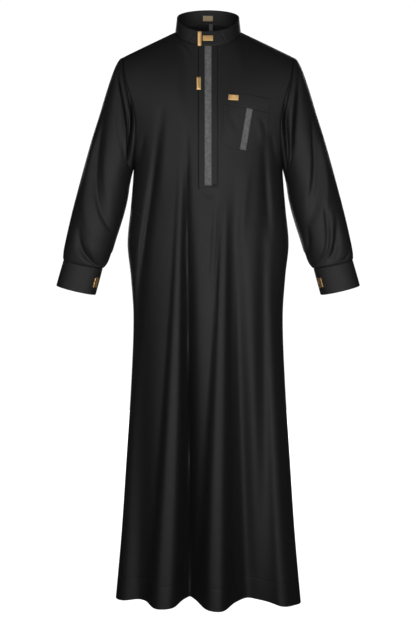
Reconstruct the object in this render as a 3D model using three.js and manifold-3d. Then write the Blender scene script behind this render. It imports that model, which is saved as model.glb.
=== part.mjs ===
// Ankle-length thobe, hollow and filled out as it is worn. Millimetres, +Z up, front towards -Y.
// The origin lies on the centre line of the neck, level with the high points of the shoulders.
import * as THREE from 'three';
import { mergeVertices } from 'three/addons/utils/BufferGeometryUtils.js';
import Module from 'manifold-3d';

const wasm = await Module();
wasm.setup();

// A table with named columns, as one object for each row
function table(columns, rows) {
  const names = columns.split(' ');
  return rows.map((row) => Object.fromEntries(names.map((name, i) => [name, row[i]])));
}

// Cloth and clearances
const SEAM = 0.3;
const CLOTH = 1.5;
const STIFF_CLOTH = 2.4;
const TRIM = 1.1;
const METAL = 1.3;

// Neck seam and stand collar
const NECK = { halfWidth: 80.5, front: 76, back: 62, frontDrop: 43, backRise: 22 };
const COLLAR = {
  halfWidth: 76.3, front: 70, back: 59, frontTop: -6.5, sideTop: 37.5, backTop: 62, lift: 0.8,
};
const COLLAR_ENDS = { over: 26, under: 20 };

// Shoulder line and armhole
const TIP = { x: 208, z: -62 };
const ARMPIT = { x: 183, z: -335 };
const ARMHOLE = { halfDepth: 75, bow: 19.5 };

// How the panels round over from the shoulder: the share of the height that the rounding takes,
// and its sharpness at the middle of the neck, beside the neck and at the shoulder tip
const SHOULDER_ROLL = 0.6;
const NECK_ROLL = 0.75;
const CHEST_SINE = 0.78;
const FRONT_ROUNDING = { neck: 1, side: 1.42, tip: 2 };
const BACK_ROUNDING = { neck: 1.15, side: 2.7, tip: 2 };

// Hem heights at the side seams, and how far the middle of each panel lies above them
const HEM = { side: -1394, lean: 6, frontLift: 22, backLift: -8 };

// Front placket and its tape
const PLACKET = { halfWidth: 21.6, bottom: -381 };
const TAPE = { halfWidth: 8, bottom: -376 };

// Body sections: half width at the side seam, depth of the front and of the back
const BODY_SECTIONS = [
  { z: 25, halfWidth: 183, front: 108, back: 96 },
  { z: -100, halfWidth: 183, front: 115, back: 106 },
  { z: -200, halfWidth: 183, front: 121, back: 110 },
  { z: -335, halfWidth: 183, front: 124, back: 107 },
  { z: -430, halfWidth: 190, front: 123, back: 101 },
  { z: -520, halfWidth: 198, front: 121, back: 100 },
  { z: -600, halfWidth: 190, front: 119, back: 104 },
  { z: -700, halfWidth: 183.6, front: 117, back: 108 },
  { z: -860, halfWidth: 189, front: 114, back: 112 },
  { z: -1050, halfWidth: 201, front: 112, back: 117 },
  { z: -1230, halfWidth: 213, front: 111, back: 121 },
  { z: -1410, halfWidth: 229, front: 110, back: 125 },
];

// Largest folds: where each starts and where it meets the hem, its widths, its depth at the hem,
// out from the cloth when it is positive, how it grows, and how square its section is
const FOLD_COLUMNS = 'fromZ fromX toX bow fromWidth toWidth depth growth square';
const FRONT_FOLDS = table(FOLD_COLUMNS, [
  [-330, -66, -106, 6, 4, 37, 36, 1.0, 5],
  [-240, -51, -44, 0, 8, 31, -66, 1.25, 1.2],
  [-380, 41, 15, 0, 6, 37, 40, 1.0, 4],
  [-330, 64, 96, -4, 10, 38, -60, 1.2, 1.8],
  [-330, 133, 140, -4, 10, 28, -20, 0.8, 2],
  [-560, 145, 184, -4, 10, 20, 7, 0.5, 3],
  [-190, -108, -253, -4, 11, 14, -18, 0.5, 2],
  [-600, -158, -166, 0, 20, 30, -26, 1.0, 2],
]);
const BACK_FOLDS = table(FOLD_COLUMNS, [
  [-300, -84, -126, 4, 14, 30, 26, 1.4, 2.6],
  [-210, -48, -64, -3, 14, 26, -30, 1.4, 2],
  [-360, -8, 2, 3, 15, 30, 25, 1.5, 2.6],
  [-240, 42, 66, 0, 14, 27, -29, 1.3, 2],
  [-330, 88, 128, -4, 14, 29, 24, 1.4, 2.6],
]);

// Columns of the panels, by their distance from the centre line on the shoulder or the neck seam
const FRONT_COLUMNS = [
  0, 8, 21.6, 34, 47, 59, 69, 76, 79.6, 80.5, 92, 106, 121, 137, 153, 168, 182, 193, 202, 208,
];
const BACK_COLUMNS = [0, 21.6, 38, 54, 67, 76, 80.5, 94, 110, 127, 144, 161, 178, 195, 208];
const SKIRT_ROWS = { front: 15, back: 13 };
const ARMHOLE_ROWS = 12;
const NEAR_NECK = 0.35;
const NEAR_TIP = 0.85;

// Sleeve sections from the armhole to the cuff: the outer and the inner edge and the half depth
const SLEEVE_SECTIONS = [
  { outerX: 208, outerZ: -62, innerX: 183, innerZ: -335, halfDepth: 75, bow: 1 },
  { outerX: 219, outerZ: -70, innerX: 184.8, innerZ: -342, halfDepth: 77, bow: 0.8 },
  { outerX: 232, outerZ: -96, innerX: 187, innerZ: -351, halfDepth: 77, bow: 0.45 },
  { outerX: 249, outerZ: -146, innerX: 189.5, innerZ: -362, halfDepth: 76, bow: 0.2 },
  { outerX: 266, outerZ: -203, innerX: 193, innerZ: -381, halfDepth: 74, bow: 0.05 },
  { outerX: 284, outerZ: -260, innerX: 197, innerZ: -409, halfDepth: 71, bow: 0 },
  { outerX: 301, outerZ: -320, innerX: 204.5, innerZ: -442, halfDepth: 68, bow: 0 },
  { outerX: 318, outerZ: -383, innerX: 214.5, innerZ: -476, halfDepth: 64, bow: 0 },
  { outerX: 334, outerZ: -445, innerX: 224.5, innerZ: -507, halfDepth: 60, bow: 0 },
  { outerX: 347, outerZ: -502, innerX: 235, innerZ: -541, halfDepth: 54, bow: 0 },
  { outerX: 354, outerZ: -538, innerX: 245.5, innerZ: -566, halfDepth: 45, bow: 0 },
  { outerX: 355, outerZ: -558, innerX: 256, innerZ: -580, halfDepth: 37, bow: 0 },
];
const SLEEVE_RINGS = 17;
const SLEEVE_FORWARD = 14;

// Sleeve folds: their ends along the sleeve (0 at the armhole, 1 at the cuff) and round it (0 at the
// outer edge, 90 at the front, 180 at the inner edge), with bow, width and depth in millimetres
const SLEEVE_FOLDS = table('from to fromTurn toTurn bow width depth', [
  [0, 0.24, 72, 150, 0, 20, -11],
  [0.12, 0.28, 34, 130, 0, 18, -5],
  [0.32, 0.7, 46, 142, -22, 19, -8],
  [0.74, 0.97, 58, 138, -8, 13, -5],
  [0.02, 0.28, 290, 205, 0, 22, -9],
  [0.32, 0.72, 310, 222, 18, 20, -7],
  [0.72, 0.97, 300, 226, 8, 14, -5],
]);
const SLEEVE_RUN = 560;
const SLEEVE_GIRTH = { top: 680, end: 275 };

// Cuffs: the sections at the seam and at the end, with the overlap of the two ends
const CUFF_SECTIONS = [
  { outerX: 353.6, outerZ: -558.9, innerX: 257.9, innerZ: -580.6, halfDepth: 34.6 },
  { outerX: 362.8, outerZ: -590.5, innerX: 266.4, innerZ: -612.8, halfDepth: 34.2 },
  { outerX: 371.6, outerZ: -622, innerX: 275.2, innerZ: -645, halfDepth: 34.6 },
];
const CUFF = { frontEnd: 193, backEnd: 168, step: 3.1 };

// Breast pocket on the wearer's left, its top hem and its tape, as outlines on the front
const POCKET_OUTLINE = [
  [37.2, -183.6], [143.6, -203.9], [138.6, -283], [134, -294], [124.5, -298.8],
  [51.6, -288.6], [31.3, -271.8],
];
const POCKET_HEM_OUTLINE = [
  [37.8, -155], [75.4, -158.4], [113.5, -163.8], [150.2, -172], [143.9, -203.6], [37.2, -183.3],
];
const POCKET_TAPE_OUTLINE = [[91, -193.6], [105, -196.2], [88.6, -293.2], [74.6, -291.2]];

// Metal trims: centre, width, height and lean in degrees, as seen from the front
const COLLAR_BAR = { x: -20.9, z: -24.5, width: 9.6, height: 35.5 };
const COLLAR_PLATE = { x: -0.4, z: -23.7, width: 24, height: 12.6 };
const PLACKET_BAR = { x: -22, z: -134.5, width: 10.4, height: 31 };
const POCKET_PLATE = { x: 59.6, z: -168.6, width: 24, height: 12.6, lean: -5 };
const CUFF_PLATE = { turn: 150, along: 0.53, width: 12.6, height: 24 };

// Inside the back of the neck
const NECK_LABEL = { x: -0.5, z: 41, width: 25, height: 13 };
const NECK_LOOP = { x: 7.2, y: 57.5, top: 27, bottom: -9, width: 9.5, thickness: 1 };

// Slanted welts of the pockets in the side seams, from the inner end towards the seam
const WELT = { innerX: 160, innerZ: -452, rise: 0.85, width: 7, reach: 70 };

const radians = THREE.MathUtils.degToRad;
const { clamp, lerp, smoothstep } = THREE.MathUtils;

// Smooth value of one column of a table whose rows run from high to low
function fromTable(rows, column, z) {
  let i = rows.findIndex((row) => row.z <= z);
  if (i < 0) i = rows.length - 1;
  i = clamp(i, 1, rows.length - 1);
  const a = rows[i - 1];
  const b = rows[i];
  const before = rows[Math.max(i - 2, 0)];
  const after = rows[Math.min(i + 1, rows.length - 1)];
  const t = clamp((a.z - z) / (a.z - b.z), 0, 1);
  const slopeA = ((b[column] - before[column]) / (before.z - b.z)) * (a.z - b.z);
  const slopeB = ((after[column] - a[column]) / (a.z - after.z)) * (a.z - b.z);
  return (
    (2 * t ** 3 - 3 * t ** 2 + 1) * a[column] + (t ** 3 - 2 * t ** 2 + t) * slopeA
    + (3 * t ** 2 - 2 * t ** 3) * b[column] + (t ** 3 - t ** 2) * slopeB
  );
}

// Smooth value between evenly spaced rows, at a share from 0 to 1 of the table
function fromSteps(rows, column, share) {
  const place = clamp(share, 0, 1) * (rows.length - 1);
  const i = Math.min(Math.floor(place), rows.length - 2);
  const pick = (k) => rows[clamp(k, 0, rows.length - 1)][column];
  const t = place - i;
  const [p0, p1, p2, p3] = [pick(i - 1), pick(i), pick(i + 1), pick(i + 2)];
  return p1 + 0.5 * t * (p2 - p0 + t * (2 * p0 - 5 * p1 + 4 * p2 - p3 + t * (3 * (p1 - p2) + p3 - p0)));
}

// Height of the neck seam at a depth from the centre of the neck
function neckHeight(y) {
  if (y < 0) return -NECK.frontDrop * (0.8 * (-y / NECK.front) + 0.2 * (y / NECK.front) ** 2);
  return NECK.backRise * (y / NECK.back) ** 1.3;
}

// Point of a panel's top edge, on the shoulder seam or the neck seam
function topEdge(side, x) {
  const far = Math.abs(x);
  if (far >= NECK.halfWidth) {
    const slope = TIP.z / (TIP.x - NECK.halfWidth);
    return { y: SEAM / 2, z: slope * (far - NECK.halfWidth) };
  }
  const reach = side < 0 ? NECK.front : NECK.back;
  const y = Math.max(reach * Math.sqrt(1 - (far / NECK.halfWidth) ** 2), SEAM / 2);
  return { y, z: neckHeight(side * y) };
}

// The armhole at a turn of 0 at the armpit to pi at the shoulder tip
function armhole(turn) {
  const share = (1 - Math.cos(turn)) / 2;
  const skew = smoothstep(180 - THREE.MathUtils.radToDeg(turn), 25, 105);
  const bow = ARMHOLE.bow * Math.sin(turn) ** 2 * skew;
  return {
    share,
    x: lerp(ARMPIT.x, TIP.x, share) - bow,
    y: ARMHOLE.halfDepth * Math.sin(turn),
    z: lerp(ARMPIT.z, TIP.z, share),
  };
}

function roundOver(share, exponent) {
  const s = clamp(share, 0, 1);
  return (1 - (1 - s) ** 2) ** (1 / exponent);
}

// How far the folds move the cloth out of a panel
function foldDepth(folds, x, z) {
  let total = 0;
  for (const fold of folds) {
    if (z >= fold.fromZ) continue;
    const t = Math.min((fold.fromZ - z) / (fold.fromZ - HEM.side), 1.05);
    const centre = lerp(fold.fromX, fold.toX, t) + fold.bow * 4 * t * (1 - t);
    const width = lerp(fold.fromWidth, fold.toWidth, t);
    const section = Math.exp(-(Math.abs((x - centre) / width) ** fold.square));
    total += fold.depth * t ** fold.growth * section;
  }
  return total;
}

// Share of the half width at which a column lies: even on the skirt, by the table at the top
function columnShare(columns, i, level) {
  const first = columns.indexOf(PLACKET.halfWidth);
  const even = (i - first) / (columns.length - 1 - first);
  const rounded = Math.sin((even * Math.PI) / 2);
  const top = (columns[i] - PLACKET.halfWidth) / (TIP.x - PLACKET.halfWidth);
  return lerp(0.5 * even + 0.5 * rounded, top, level);
}

// One panel of the body as a grid of points, from the hem up and across from -X to +X
function panelGrid(side) {
  const front = side < 0;
  const columns = front ? FRONT_COLUMNS : BACK_COLUMNS;
  const folds = front ? FRONT_FOLDS : BACK_FOLDS;
  const depthColumn = front ? 'front' : 'back';
  const rounding = front ? FRONT_ROUNDING : BACK_ROUNDING;
  const skirtRows = front ? SKIRT_ROWS.front : SKIRT_ROWS.back;
  const last = columns.length - 1;
  const grid = [];
  const columnX = (i, edgeX, level) => {
    if (columns[i] <= PLACKET.halfWidth) return columns[i];
    return PLACKET.halfWidth + (edgeX - PLACKET.halfWidth) * columnShare(columns, i, level);
  };
  const addFolds = (x, depth, z, roundness) => (
    depth + smoothstep(roundness, 0, 0.5) * foldDepth(folds, x, z)
  );
  for (let j = 0; j < skirtRows; j++) {
    const row = [];
    for (let k = -last; k <= last; k++) {
      const i = Math.abs(k);
      const sign = Math.sign(k);
      const even = k / last;
      const hemZ = HEM.side - HEM.lean * even + (front ? HEM.frontLift : HEM.backLift) * (1 - even ** 2);
      const z = lerp(hemZ, ARMPIT.z, j / skirtRows);
      const edgeX = fromTable(BODY_SECTIONS, 'halfWidth', z);
      const x = sign * columnX(i, edgeX, 0);
      const roundness = Math.sqrt(Math.max(1 - (x / edgeX) ** 2, 0));
      const depth = fromTable(BODY_SECTIONS, depthColumn, z) * roundness;
      row.push(new THREE.Vector3(x, side * Math.max(addFolds(x, depth, z, roundness), SEAM / 2), z));
    }
    grid.push(row);
  }
  for (let j = 0; j <= ARMHOLE_ROWS; j++) {
    const edge = armhole((Math.PI * j) / ARMHOLE_ROWS);
    const level = edge.share;
    const edgeRoll = Math.max(roundOver((1 - level) / SHOULDER_ROLL, 2), 1e-6);
    const even = smoothstep(level, -0.12, 0.6);
    const row = [];
    for (let k = -last; k <= last; k++) {
      const i = Math.abs(k);
      const x = Math.sign(k) * columnX(i, edge.x - SEAM / 2, level);
      const top = topEdge(side, columns[i]);
      const z = lerp(ARMPIT.z, top.z, level);
      const full = fromTable(BODY_SECTIONS, depthColumn, z);
      const atTip = j === ARMHOLE_ROWS;
      const edgeDepth = atTip ? ARMHOLE.halfDepth * Math.sqrt(2 * SHOULDER_ROLL) : edge.y / edgeRoll;
      const edgeSine = Math.sqrt(1 - Math.min(edgeDepth / full, 1) ** 2);
      const out = Math.abs(x) / (edge.x - SEAM / 2);
      const sine = lerp(lerp(1, CHEST_SINE, even), edgeSine, out ** 6);
      const roundness = Math.sqrt(Math.max(1 - (out * sine) ** 2, 0));
      const neckward = smoothstep(NECK.halfWidth - columns[i], 0, NECK.halfWidth * NEAR_NECK);
      const tipward = smoothstep(columns[i], NECK.halfWidth, TIP.x * NEAR_TIP);
      const exponent = lerp(lerp(rounding.side, rounding.tip, tipward), rounding.neck, neckward);
      const roll = roundOver((1 - level) / lerp(SHOULDER_ROLL, NECK_ROLL, neckward), exponent);
      const depth = top.y + (full * roundness - top.y) * roll;
      row.push(new THREE.Vector3(x, side * Math.max(addFolds(x, depth, z, roundness), SEAM / 2), z));
    }
    grid.push(row);
  }
  return grid;
}

// Unit normals of a grid, which point to the left of its rows' direction seen from below
function gridNormals(grid, closed, flip) {
  const rows = grid.length;
  const count = grid[0].length;
  return grid.map((row, j) => row.map((_, i) => {
    const left = closed ? (i + count - 1) % count : Math.max(i - 1, 0);
    const right = closed ? (i + 1) % count : Math.min(i + 1, count - 1);
    const across = grid[j][right].clone().sub(grid[j][left]);
    const up = grid[Math.min(j + 1, rows - 1)][i].clone().sub(grid[Math.max(j - 1, 0)][i]);
    return across.cross(up).multiplyScalar(flip ? -1 : 1).normalize();
  }));
}

// The same grid moved out along its normals
function movedOut(grid, normals, distance) {
  return grid.map((row, j) => row.map((point, i) => point.clone().addScaledVector(normals[j][i], distance)));
}

// One closed wall between an outer and an inner grid
function wall(outer, inner, closed, flip) {
  const rows = outer.length;
  const count = outer[0].length;
  const positions = [...outer.flat(), ...inner.flat()].flatMap((p) => [p.x, p.y, p.z]);
  const at = (layer, j, i) => layer * rows * count + j * count + (i % count);
  const indices = [];
  const quad = (a, b, c, d) => {
    const order = flip ? [a, c, b, a, d, c] : [a, b, c, a, c, d];
    indices.push(...order);
  };
  const cells = closed ? count : count - 1;
  for (let j = 0; j < rows - 1; j++) {
    for (let i = 0; i < cells; i++) {
      quad(at(0, j, i), at(0, j, i + 1), at(0, j + 1, i + 1), at(0, j + 1, i));
      quad(at(1, j, i), at(1, j + 1, i), at(1, j + 1, i + 1), at(1, j, i + 1));
    }
  }
  for (let i = 0; i < cells; i++) {
    quad(at(1, 0, i), at(1, 0, i + 1), at(0, 0, i + 1), at(0, 0, i));
    quad(at(0, rows - 1, i), at(0, rows - 1, i + 1), at(1, rows - 1, i + 1), at(1, rows - 1, i));
  }
  if (!closed) {
    for (let j = 0; j < rows - 1; j++) {
      quad(at(1, j, 0), at(0, j, 0), at(0, j + 1, 0), at(1, j + 1, 0));
      quad(at(0, j, count - 1), at(1, j, count - 1), at(1, j + 1, count - 1), at(0, j + 1, count - 1));
    }
  }
  const geometry = new THREE.BufferGeometry();
  geometry.setAttribute('position', new THREE.Float32BufferAttribute(positions, 3));
  geometry.setIndex(indices);
  return geometry;
}

function solidOf(geometry) {
  const bare = geometry.clone();
  bare.deleteAttribute('normal');
  bare.deleteAttribute('uv');
  const merged = mergeVertices(bare, 1e-4);
  return new wasm.Manifold(new wasm.Mesh({
    numProp: 3,
    vertProperties: new Float32Array(merged.attributes.position.array),
    triVerts: new Uint32Array(merged.index.array),
  }));
}

function geometryOf(solid) {
  const mesh = solid.getMesh();
  const geometry = new THREE.BufferGeometry();
  geometry.setAttribute('position', new THREE.Float32BufferAttribute(mesh.vertProperties, 3));
  geometry.setIndex(new THREE.BufferAttribute(mesh.triVerts, 1));
  return geometry;
}

// An outline seen from the front, given as pairs of x and z, extruded through a span of depths
function prism(outline, nearY, farY) {
  const shape = new THREE.Shape(outline.map(([x, z]) => new THREE.Vector2(x, z)));
  const geometry = new THREE.ExtrudeGeometry(shape, { depth: farY - nearY, bevelEnabled: false });
  geometry.rotateX(Math.PI / 2);
  geometry.translate(0, farY, 0);
  return solidOf(geometry);
}

// What an outline cuts from a grid's layer between two distances out of it
function patch(grid, normals, outline, near, far, nearY, farY, flip) {
  const layer = wall(movedOut(grid, normals, far), movedOut(grid, normals, near), false, flip);
  return geometryOf(solidOf(layer).intersect(prism(outline, nearY, farY)));
}

function rectangle({ x, z, width, height, lean = 0 }) {
  const turn = radians(lean);
  return [[-1, -1], [1, -1], [1, 1], [-1, 1]].map(([a, b]) => {
    const dx = (a * width) / 2;
    const dz = (b * height) / 2;
    return [x + dx * Math.cos(turn) - dz * Math.sin(turn), z + dx * Math.sin(turn) + dz * Math.cos(turn)];
  });
}

// Body panels
const frontGrid = panelGrid(-1);
const frontNormals = gridNormals(frontGrid, false, false);
const backGrid = panelGrid(1);
const backNormals = gridNormals(backGrid, false, true);

// The directions in which the wall goes in, kept in the seam's own plane along every seam
function seamedIn(grid, normals, skirtRows) {
  const last = grid[0].length - 1;
  return grid.map((row, j) => row.map((point, i) => {
    const inward = normals[j][i].clone().negate();
    const atSide = i === 0 || i === last;
    const atShoulder = j === grid.length - 1 && Math.abs(point.x) >= NECK.halfWidth - SEAM;
    if (atShoulder || (atSide && j <= skirtRows)) inward.y = 0;
    if (atSide && j > skirtRows) inward.x = 0;
    return point.clone().addScaledVector(inward.normalize(), CLOTH);
  }));
}

const frontPanel = wall(frontGrid, seamedIn(frontGrid, frontNormals, SKIRT_ROWS.front), false, false);
const backPanel = wall(backGrid, seamedIn(backGrid, backNormals, SKIRT_ROWS.back), false, true);

// One ring of a sleeve or a cuff: the place on it at a turn from the outer edge round the front
function ringPoint(section, turn, forward, bowShare) {
  const across = Math.cos(turn);
  const middleX = (section.outerX + section.innerX) / 2;
  const middleZ = (section.outerZ + section.innerZ) / 2;
  const fromOuter = THREE.MathUtils.radToDeg(Math.acos(clamp(across, -1, 1)));
  const bow = ARMHOLE.bow * bowShare * Math.sin(turn) ** 2 * smoothstep(fromOuter, 25, 105);
  return new THREE.Vector3(
    middleX + ((section.outerX - section.innerX) / 2) * across - bow,
    -section.halfDepth * Math.sin(turn) - forward,
    middleZ + ((section.outerZ - section.innerZ) / 2) * across,
  );
}

// A sleeve's rings on the +X side, from the armhole to the cuff
function sleeveGrid() {
  const around = ARMHOLE_ROWS * 2;
  const columns = Object.keys(SLEEVE_SECTIONS[0]);
  const grid = [];
  for (let j = 0; j <= SLEEVE_RINGS; j++) {
    const share = j / SLEEVE_RINGS;
    const values = columns.map((name) => [name, fromSteps(SLEEVE_SECTIONS, name, share)]);
    const section = Object.fromEntries(values);
    const forward = SLEEVE_FORWARD * share ** 2;
    const ring = [];
    for (let i = 0; i < around; i++) {
      const turn = (2 * Math.PI * i) / around;
      const point = ringPoint(section, turn, forward, section.bow);
      if (j === 0) point.x += SEAM / 2;
      ring.push(point);
    }
    grid.push(ring);
  }
  return grid;
}

// A place on a sleeve laid flat: millimetres round it from the middle of its front, and along it
function sleevePlace(share, degrees) {
  const aroundFront = ((degrees - 90) / 360) * lerp(SLEEVE_GIRTH.top, SLEEVE_GIRTH.end, share);
  return { around: aroundFront, along: share * SLEEVE_RUN };
}

// How far the folds move a sleeve's cloth out, fading to nothing at its two seams
function sleeveFoldDepth(share, degrees) {
  const place = sleevePlace(share, degrees);
  const seams = smoothstep(share, 0, 0.05) * (1 - smoothstep(share, 0.95, 1));
  let total = 0;
  for (const fold of SLEEVE_FOLDS) {
    const start = sleevePlace(fold.from, fold.fromTurn);
    const end = sleevePlace(fold.to, fold.toTurn);
    const run = { around: end.around - start.around, along: end.along - start.along };
    const length = Math.hypot(run.around, run.along);
    const around = place.around - start.around;
    const along = place.along - start.along;
    const t = (around * run.around + along * run.along) / length ** 2;
    if (t <= 0 || t >= 1) continue;
    const aside = (around * run.along - along * run.around) / length - fold.bow * 4 * t * (1 - t);
    total += fold.depth * Math.sin(Math.PI * t) * Math.exp(-((aside / fold.width) ** 2));
  }
  return total * seams;
}

function sleeve() {
  const plain = sleeveGrid();
  const plainNormals = gridNormals(plain, true, false);
  const outer = plain.map((ring, j) => ring.map((point, i) => {
    const depth = sleeveFoldDepth(j / SLEEVE_RINGS, (360 * i) / ring.length);
    return point.clone().addScaledVector(plainNormals[j][i], depth);
  }));
  const normals = gridNormals(outer, true, false);
  const inner = outer.map((ring, j) => ring.map((point, i) => {
    const inward = normals[j][i].clone().negate();
    const nearArmpit = Math.abs(i - ARMHOLE_ROWS) <= 1;
    if (j === 0 && !nearArmpit) inward.x = 0;
    if (j === 0 && nearArmpit) inward.set(1, 0, 0.4);
    return point.clone().addScaledVector(inward.normalize(), CLOTH);
  }));
  return wall(outer, inner, true, false);
}

// The cuff on the +X side: a strip whose front end lies over its back end at the inner edge
function cuffGrid() {
  const around = 30;
  const rows = 3;
  const columns = Object.keys(CUFF_SECTIONS[0]);
  const grid = [];
  for (let j = 0; j <= rows; j++) {
    const share = j / rows;
    const values = columns.map((name) => [name, fromSteps(CUFF_SECTIONS, name, share)]);
    const section = Object.fromEntries(values);
    const ring = [];
    for (let i = 0; i <= around; i++) {
      const degrees = lerp(CUFF.backEnd - 360, CUFF.frontEnd, i / around);
      const tucked = CUFF.step * (1 - smoothstep(degrees, CUFF.backEnd - 360, CUFF.backEnd - 310));
      const smaller = { ...section, halfDepth: section.halfDepth - tucked };
      smaller.innerX += tucked;
      ring.push(ringPoint(smaller, radians(degrees), SLEEVE_FORWARD, 0));
    }
    grid.push(ring);
  }
  return grid;
}

const cuffPoints = cuffGrid();
const cuffNormals = gridNormals(cuffPoints, false, false);

// A plate that lies on the cuff's front, near the inner edge
function cuffPlate() {
  const rows = cuffPoints.length;
  const count = cuffPoints[0].length;
  const spot = (CUFF_PLATE.turn - CUFF.backEnd + 360) / (CUFF.frontEnd - CUFF.backEnd + 360);
  const i = Math.round(spot * (count - 1));
  const j = Math.round(CUFF_PLATE.along * (rows - 1));
  const normal = cuffNormals[j][i];
  const down = cuffPoints[rows - 1][i].clone().sub(cuffPoints[0][i]).normalize();
  const middle = cuffPoints[0][i].clone().lerp(cuffPoints[rows - 1][i], CUFF_PLATE.along);
  const geometry = new THREE.BoxGeometry(CUFF_PLATE.width, CUFF_PLATE.height, METAL);
  const across = new THREE.Vector3().crossVectors(down, normal).negate();
  const place = new THREE.Matrix4().makeBasis(across, down.clone().negate(), normal);
  place.setPosition(middle.addScaledVector(normal, METAL / 2 + 2 * SEAM));
  return geometry.applyMatrix4(place);
}

// Collar: a strip that starts under its own end, goes round the back and ends over the front
function collarGrid() {
  const around = 46;
  const rows = 3;
  const frontEnd = THREE.MathUtils.radToDeg(Math.asin(COLLAR_ENDS.over / NECK.halfWidth));
  const underEnd = THREE.MathUtils.radToDeg(Math.asin(COLLAR_ENDS.under / NECK.halfWidth));
  const grid = [];
  for (let j = 0; j <= rows; j++) {
    const share = j / rows;
    const row = [];
    for (let i = 0; i <= around; i++) {
      const degrees = lerp(-frontEnd, 360 + underEnd, i / around);
      const turn = radians(degrees);
      const tucked = (STIFF_CLOTH + 2 * SEAM) * smoothstep(degrees, 300, 340);
      const ahead = Math.cos(turn) > 0;
      const reach = lerp(ahead ? NECK.front : NECK.back, ahead ? COLLAR.front : COLLAR.back, share) - tucked;
      const halfWidth = lerp(NECK.halfWidth, COLLAR.halfWidth, share) - tucked;
      const seamY = -(ahead ? NECK.front : NECK.back) * Math.cos(turn);
      const foot = neckHeight(seamY) + COLLAR.lift;
      const top = lerp(COLLAR.sideTop, ahead ? COLLAR.frontTop : COLLAR.backTop, Math.abs(Math.cos(turn)));
      row.push(new THREE.Vector3(
        halfWidth * Math.sin(turn),
        -reach * Math.cos(turn),
        lerp(foot, top, share),
      ));
    }
    grid.push(row);
  }
  return grid;
}

const collarPoints = collarGrid();
const collarNormals = gridNormals(collarPoints, false, false);
const collar = wall(collarPoints, movedOut(collarPoints, collarNormals, -STIFF_CLOTH), false, false);

// Everything that lies on the front panel or the collar is cut from their own moved-out layers
const ROWS_BELOW_ARMPIT = 5;
const chestGrid = frontGrid.slice(SKIRT_ROWS.front - ROWS_BELOW_ARMPIT);
const chestNormals = frontNormals.slice(SKIRT_ROWS.front - ROWS_BELOW_ARMPIT);
const FIRST_LAYER = SEAM;
const SECOND_LAYER = FIRST_LAYER + TRIM + SEAM;
const CHEST_DEPTHS = [-170, -40];
const SIDE_DEPTHS = [-170, -6];
const COLLAR_FRONT = { columns: [0, 8], depths: [-110, -40] };
const COLLAR_BACK = { columns: [17, 30], depths: [30, 90] };
const ABOVE_NECK = 60;

function onChest(outline, near, thickness) {
  return patch(chestGrid, chestNormals, outline, near, near + thickness, ...CHEST_DEPTHS, false);
}

function onCollar(rect, inside) {
  const stretch = inside ? COLLAR_BACK : COLLAR_FRONT;
  const grid = collarPoints.map((row) => row.slice(...stretch.columns));
  const normals = collarNormals.map((row) => row.slice(...stretch.columns));
  const near = inside ? -STIFF_CLOTH - SEAM - TRIM : SEAM;
  const far = near + (inside ? TRIM : METAL);
  return patch(grid, normals, rectangle(rect), near, far, ...stretch.depths, false);
}

// A strip down the middle of the chest, from above the neck seam
function middleStrip({ halfWidth, bottom }) {
  return [[-halfWidth, ABOVE_NECK], [-halfWidth, bottom], [halfWidth, bottom], [halfWidth, ABOVE_NECK]];
}

function sidePocketWelt() {
  const { innerX, innerZ, rise, width, reach } = WELT;
  const strip = [
    [innerX, innerZ - width / 2], [innerX + reach, innerZ + rise * reach - width / 2],
    [innerX + reach, innerZ + rise * reach + width / 2], [innerX, innerZ + width / 2],
  ];
  return patch(chestGrid, chestNormals, strip, SEAM, SEAM + TRIM, ...SIDE_DEPTHS, false);
}

const cloth = { color: 0x121214, roughness: 0.72, metalness: 0 };
const tape = { color: 0x6c6c6e, roughness: 0.85, metalness: 0 };
const gold = { color: 0xe0a860, roughness: 0.3, metalness: 0.9 };
const tan = { color: 0x8c7648, roughness: 0.8, metalness: 0 };

const thobe = new THREE.Group();

function add(name, geometry, finish) {
  const mesh = new THREE.Mesh(geometry, new THREE.MeshStandardMaterial(finish));
  mesh.name = name;
  thobe.add(mesh);
  return mesh;
}

// The -X copy of a piece built on the +X side
function mirrored(geometry) {
  const copy = geometry.clone();
  const position = copy.attributes.position;
  for (let i = 0; i < position.count; i++) position.setX(i, -position.getX(i));
  const index = copy.index;
  for (let i = 0; i < index.count; i += 3) {
    const second = index.getX(i + 1);
    index.setX(i + 1, index.getX(i + 2));
    index.setX(i + 2, second);
  }
  return copy;
}

function addPair(name, geometry, finish) {
  add(`${name}_left`, geometry, finish);
  add(`${name}_right`, mirrored(geometry), finish);
}

add('front_panel', frontPanel, cloth);
add('back_panel', backPanel, cloth);
addPair('sleeve', sleeve(), cloth);
addPair('cuff', wall(cuffPoints, movedOut(cuffPoints, cuffNormals, -STIFF_CLOTH), false, false), cloth);
add('collar', collar, cloth);
add('placket', onChest(middleStrip(PLACKET), FIRST_LAYER, TRIM), cloth);
add('placket_tape', onChest(middleStrip(TAPE), SECOND_LAYER, TRIM), tape);
add('chest_pocket', onChest(POCKET_OUTLINE, FIRST_LAYER, TRIM), cloth);
add('chest_pocket_hem', onChest(POCKET_HEM_OUTLINE, FIRST_LAYER, TRIM), cloth);
add('chest_pocket_tape', onChest(POCKET_TAPE_OUTLINE, SECOND_LAYER, TRIM), tape);
addPair('side_pocket_welt', sidePocketWelt(), cloth);
add('collar_bar', onCollar(COLLAR_BAR, false), gold);
add('collar_plate', onCollar(COLLAR_PLATE, false), gold);
add('placket_bar', onChest(rectangle(PLACKET_BAR), SECOND_LAYER, METAL), gold);
add('pocket_plate', onChest(rectangle(POCKET_PLATE), SECOND_LAYER, METAL), gold);
addPair('cuff_plate', cuffPlate(), gold);
add('neck_label', onCollar(NECK_LABEL, true), tan);
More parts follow.
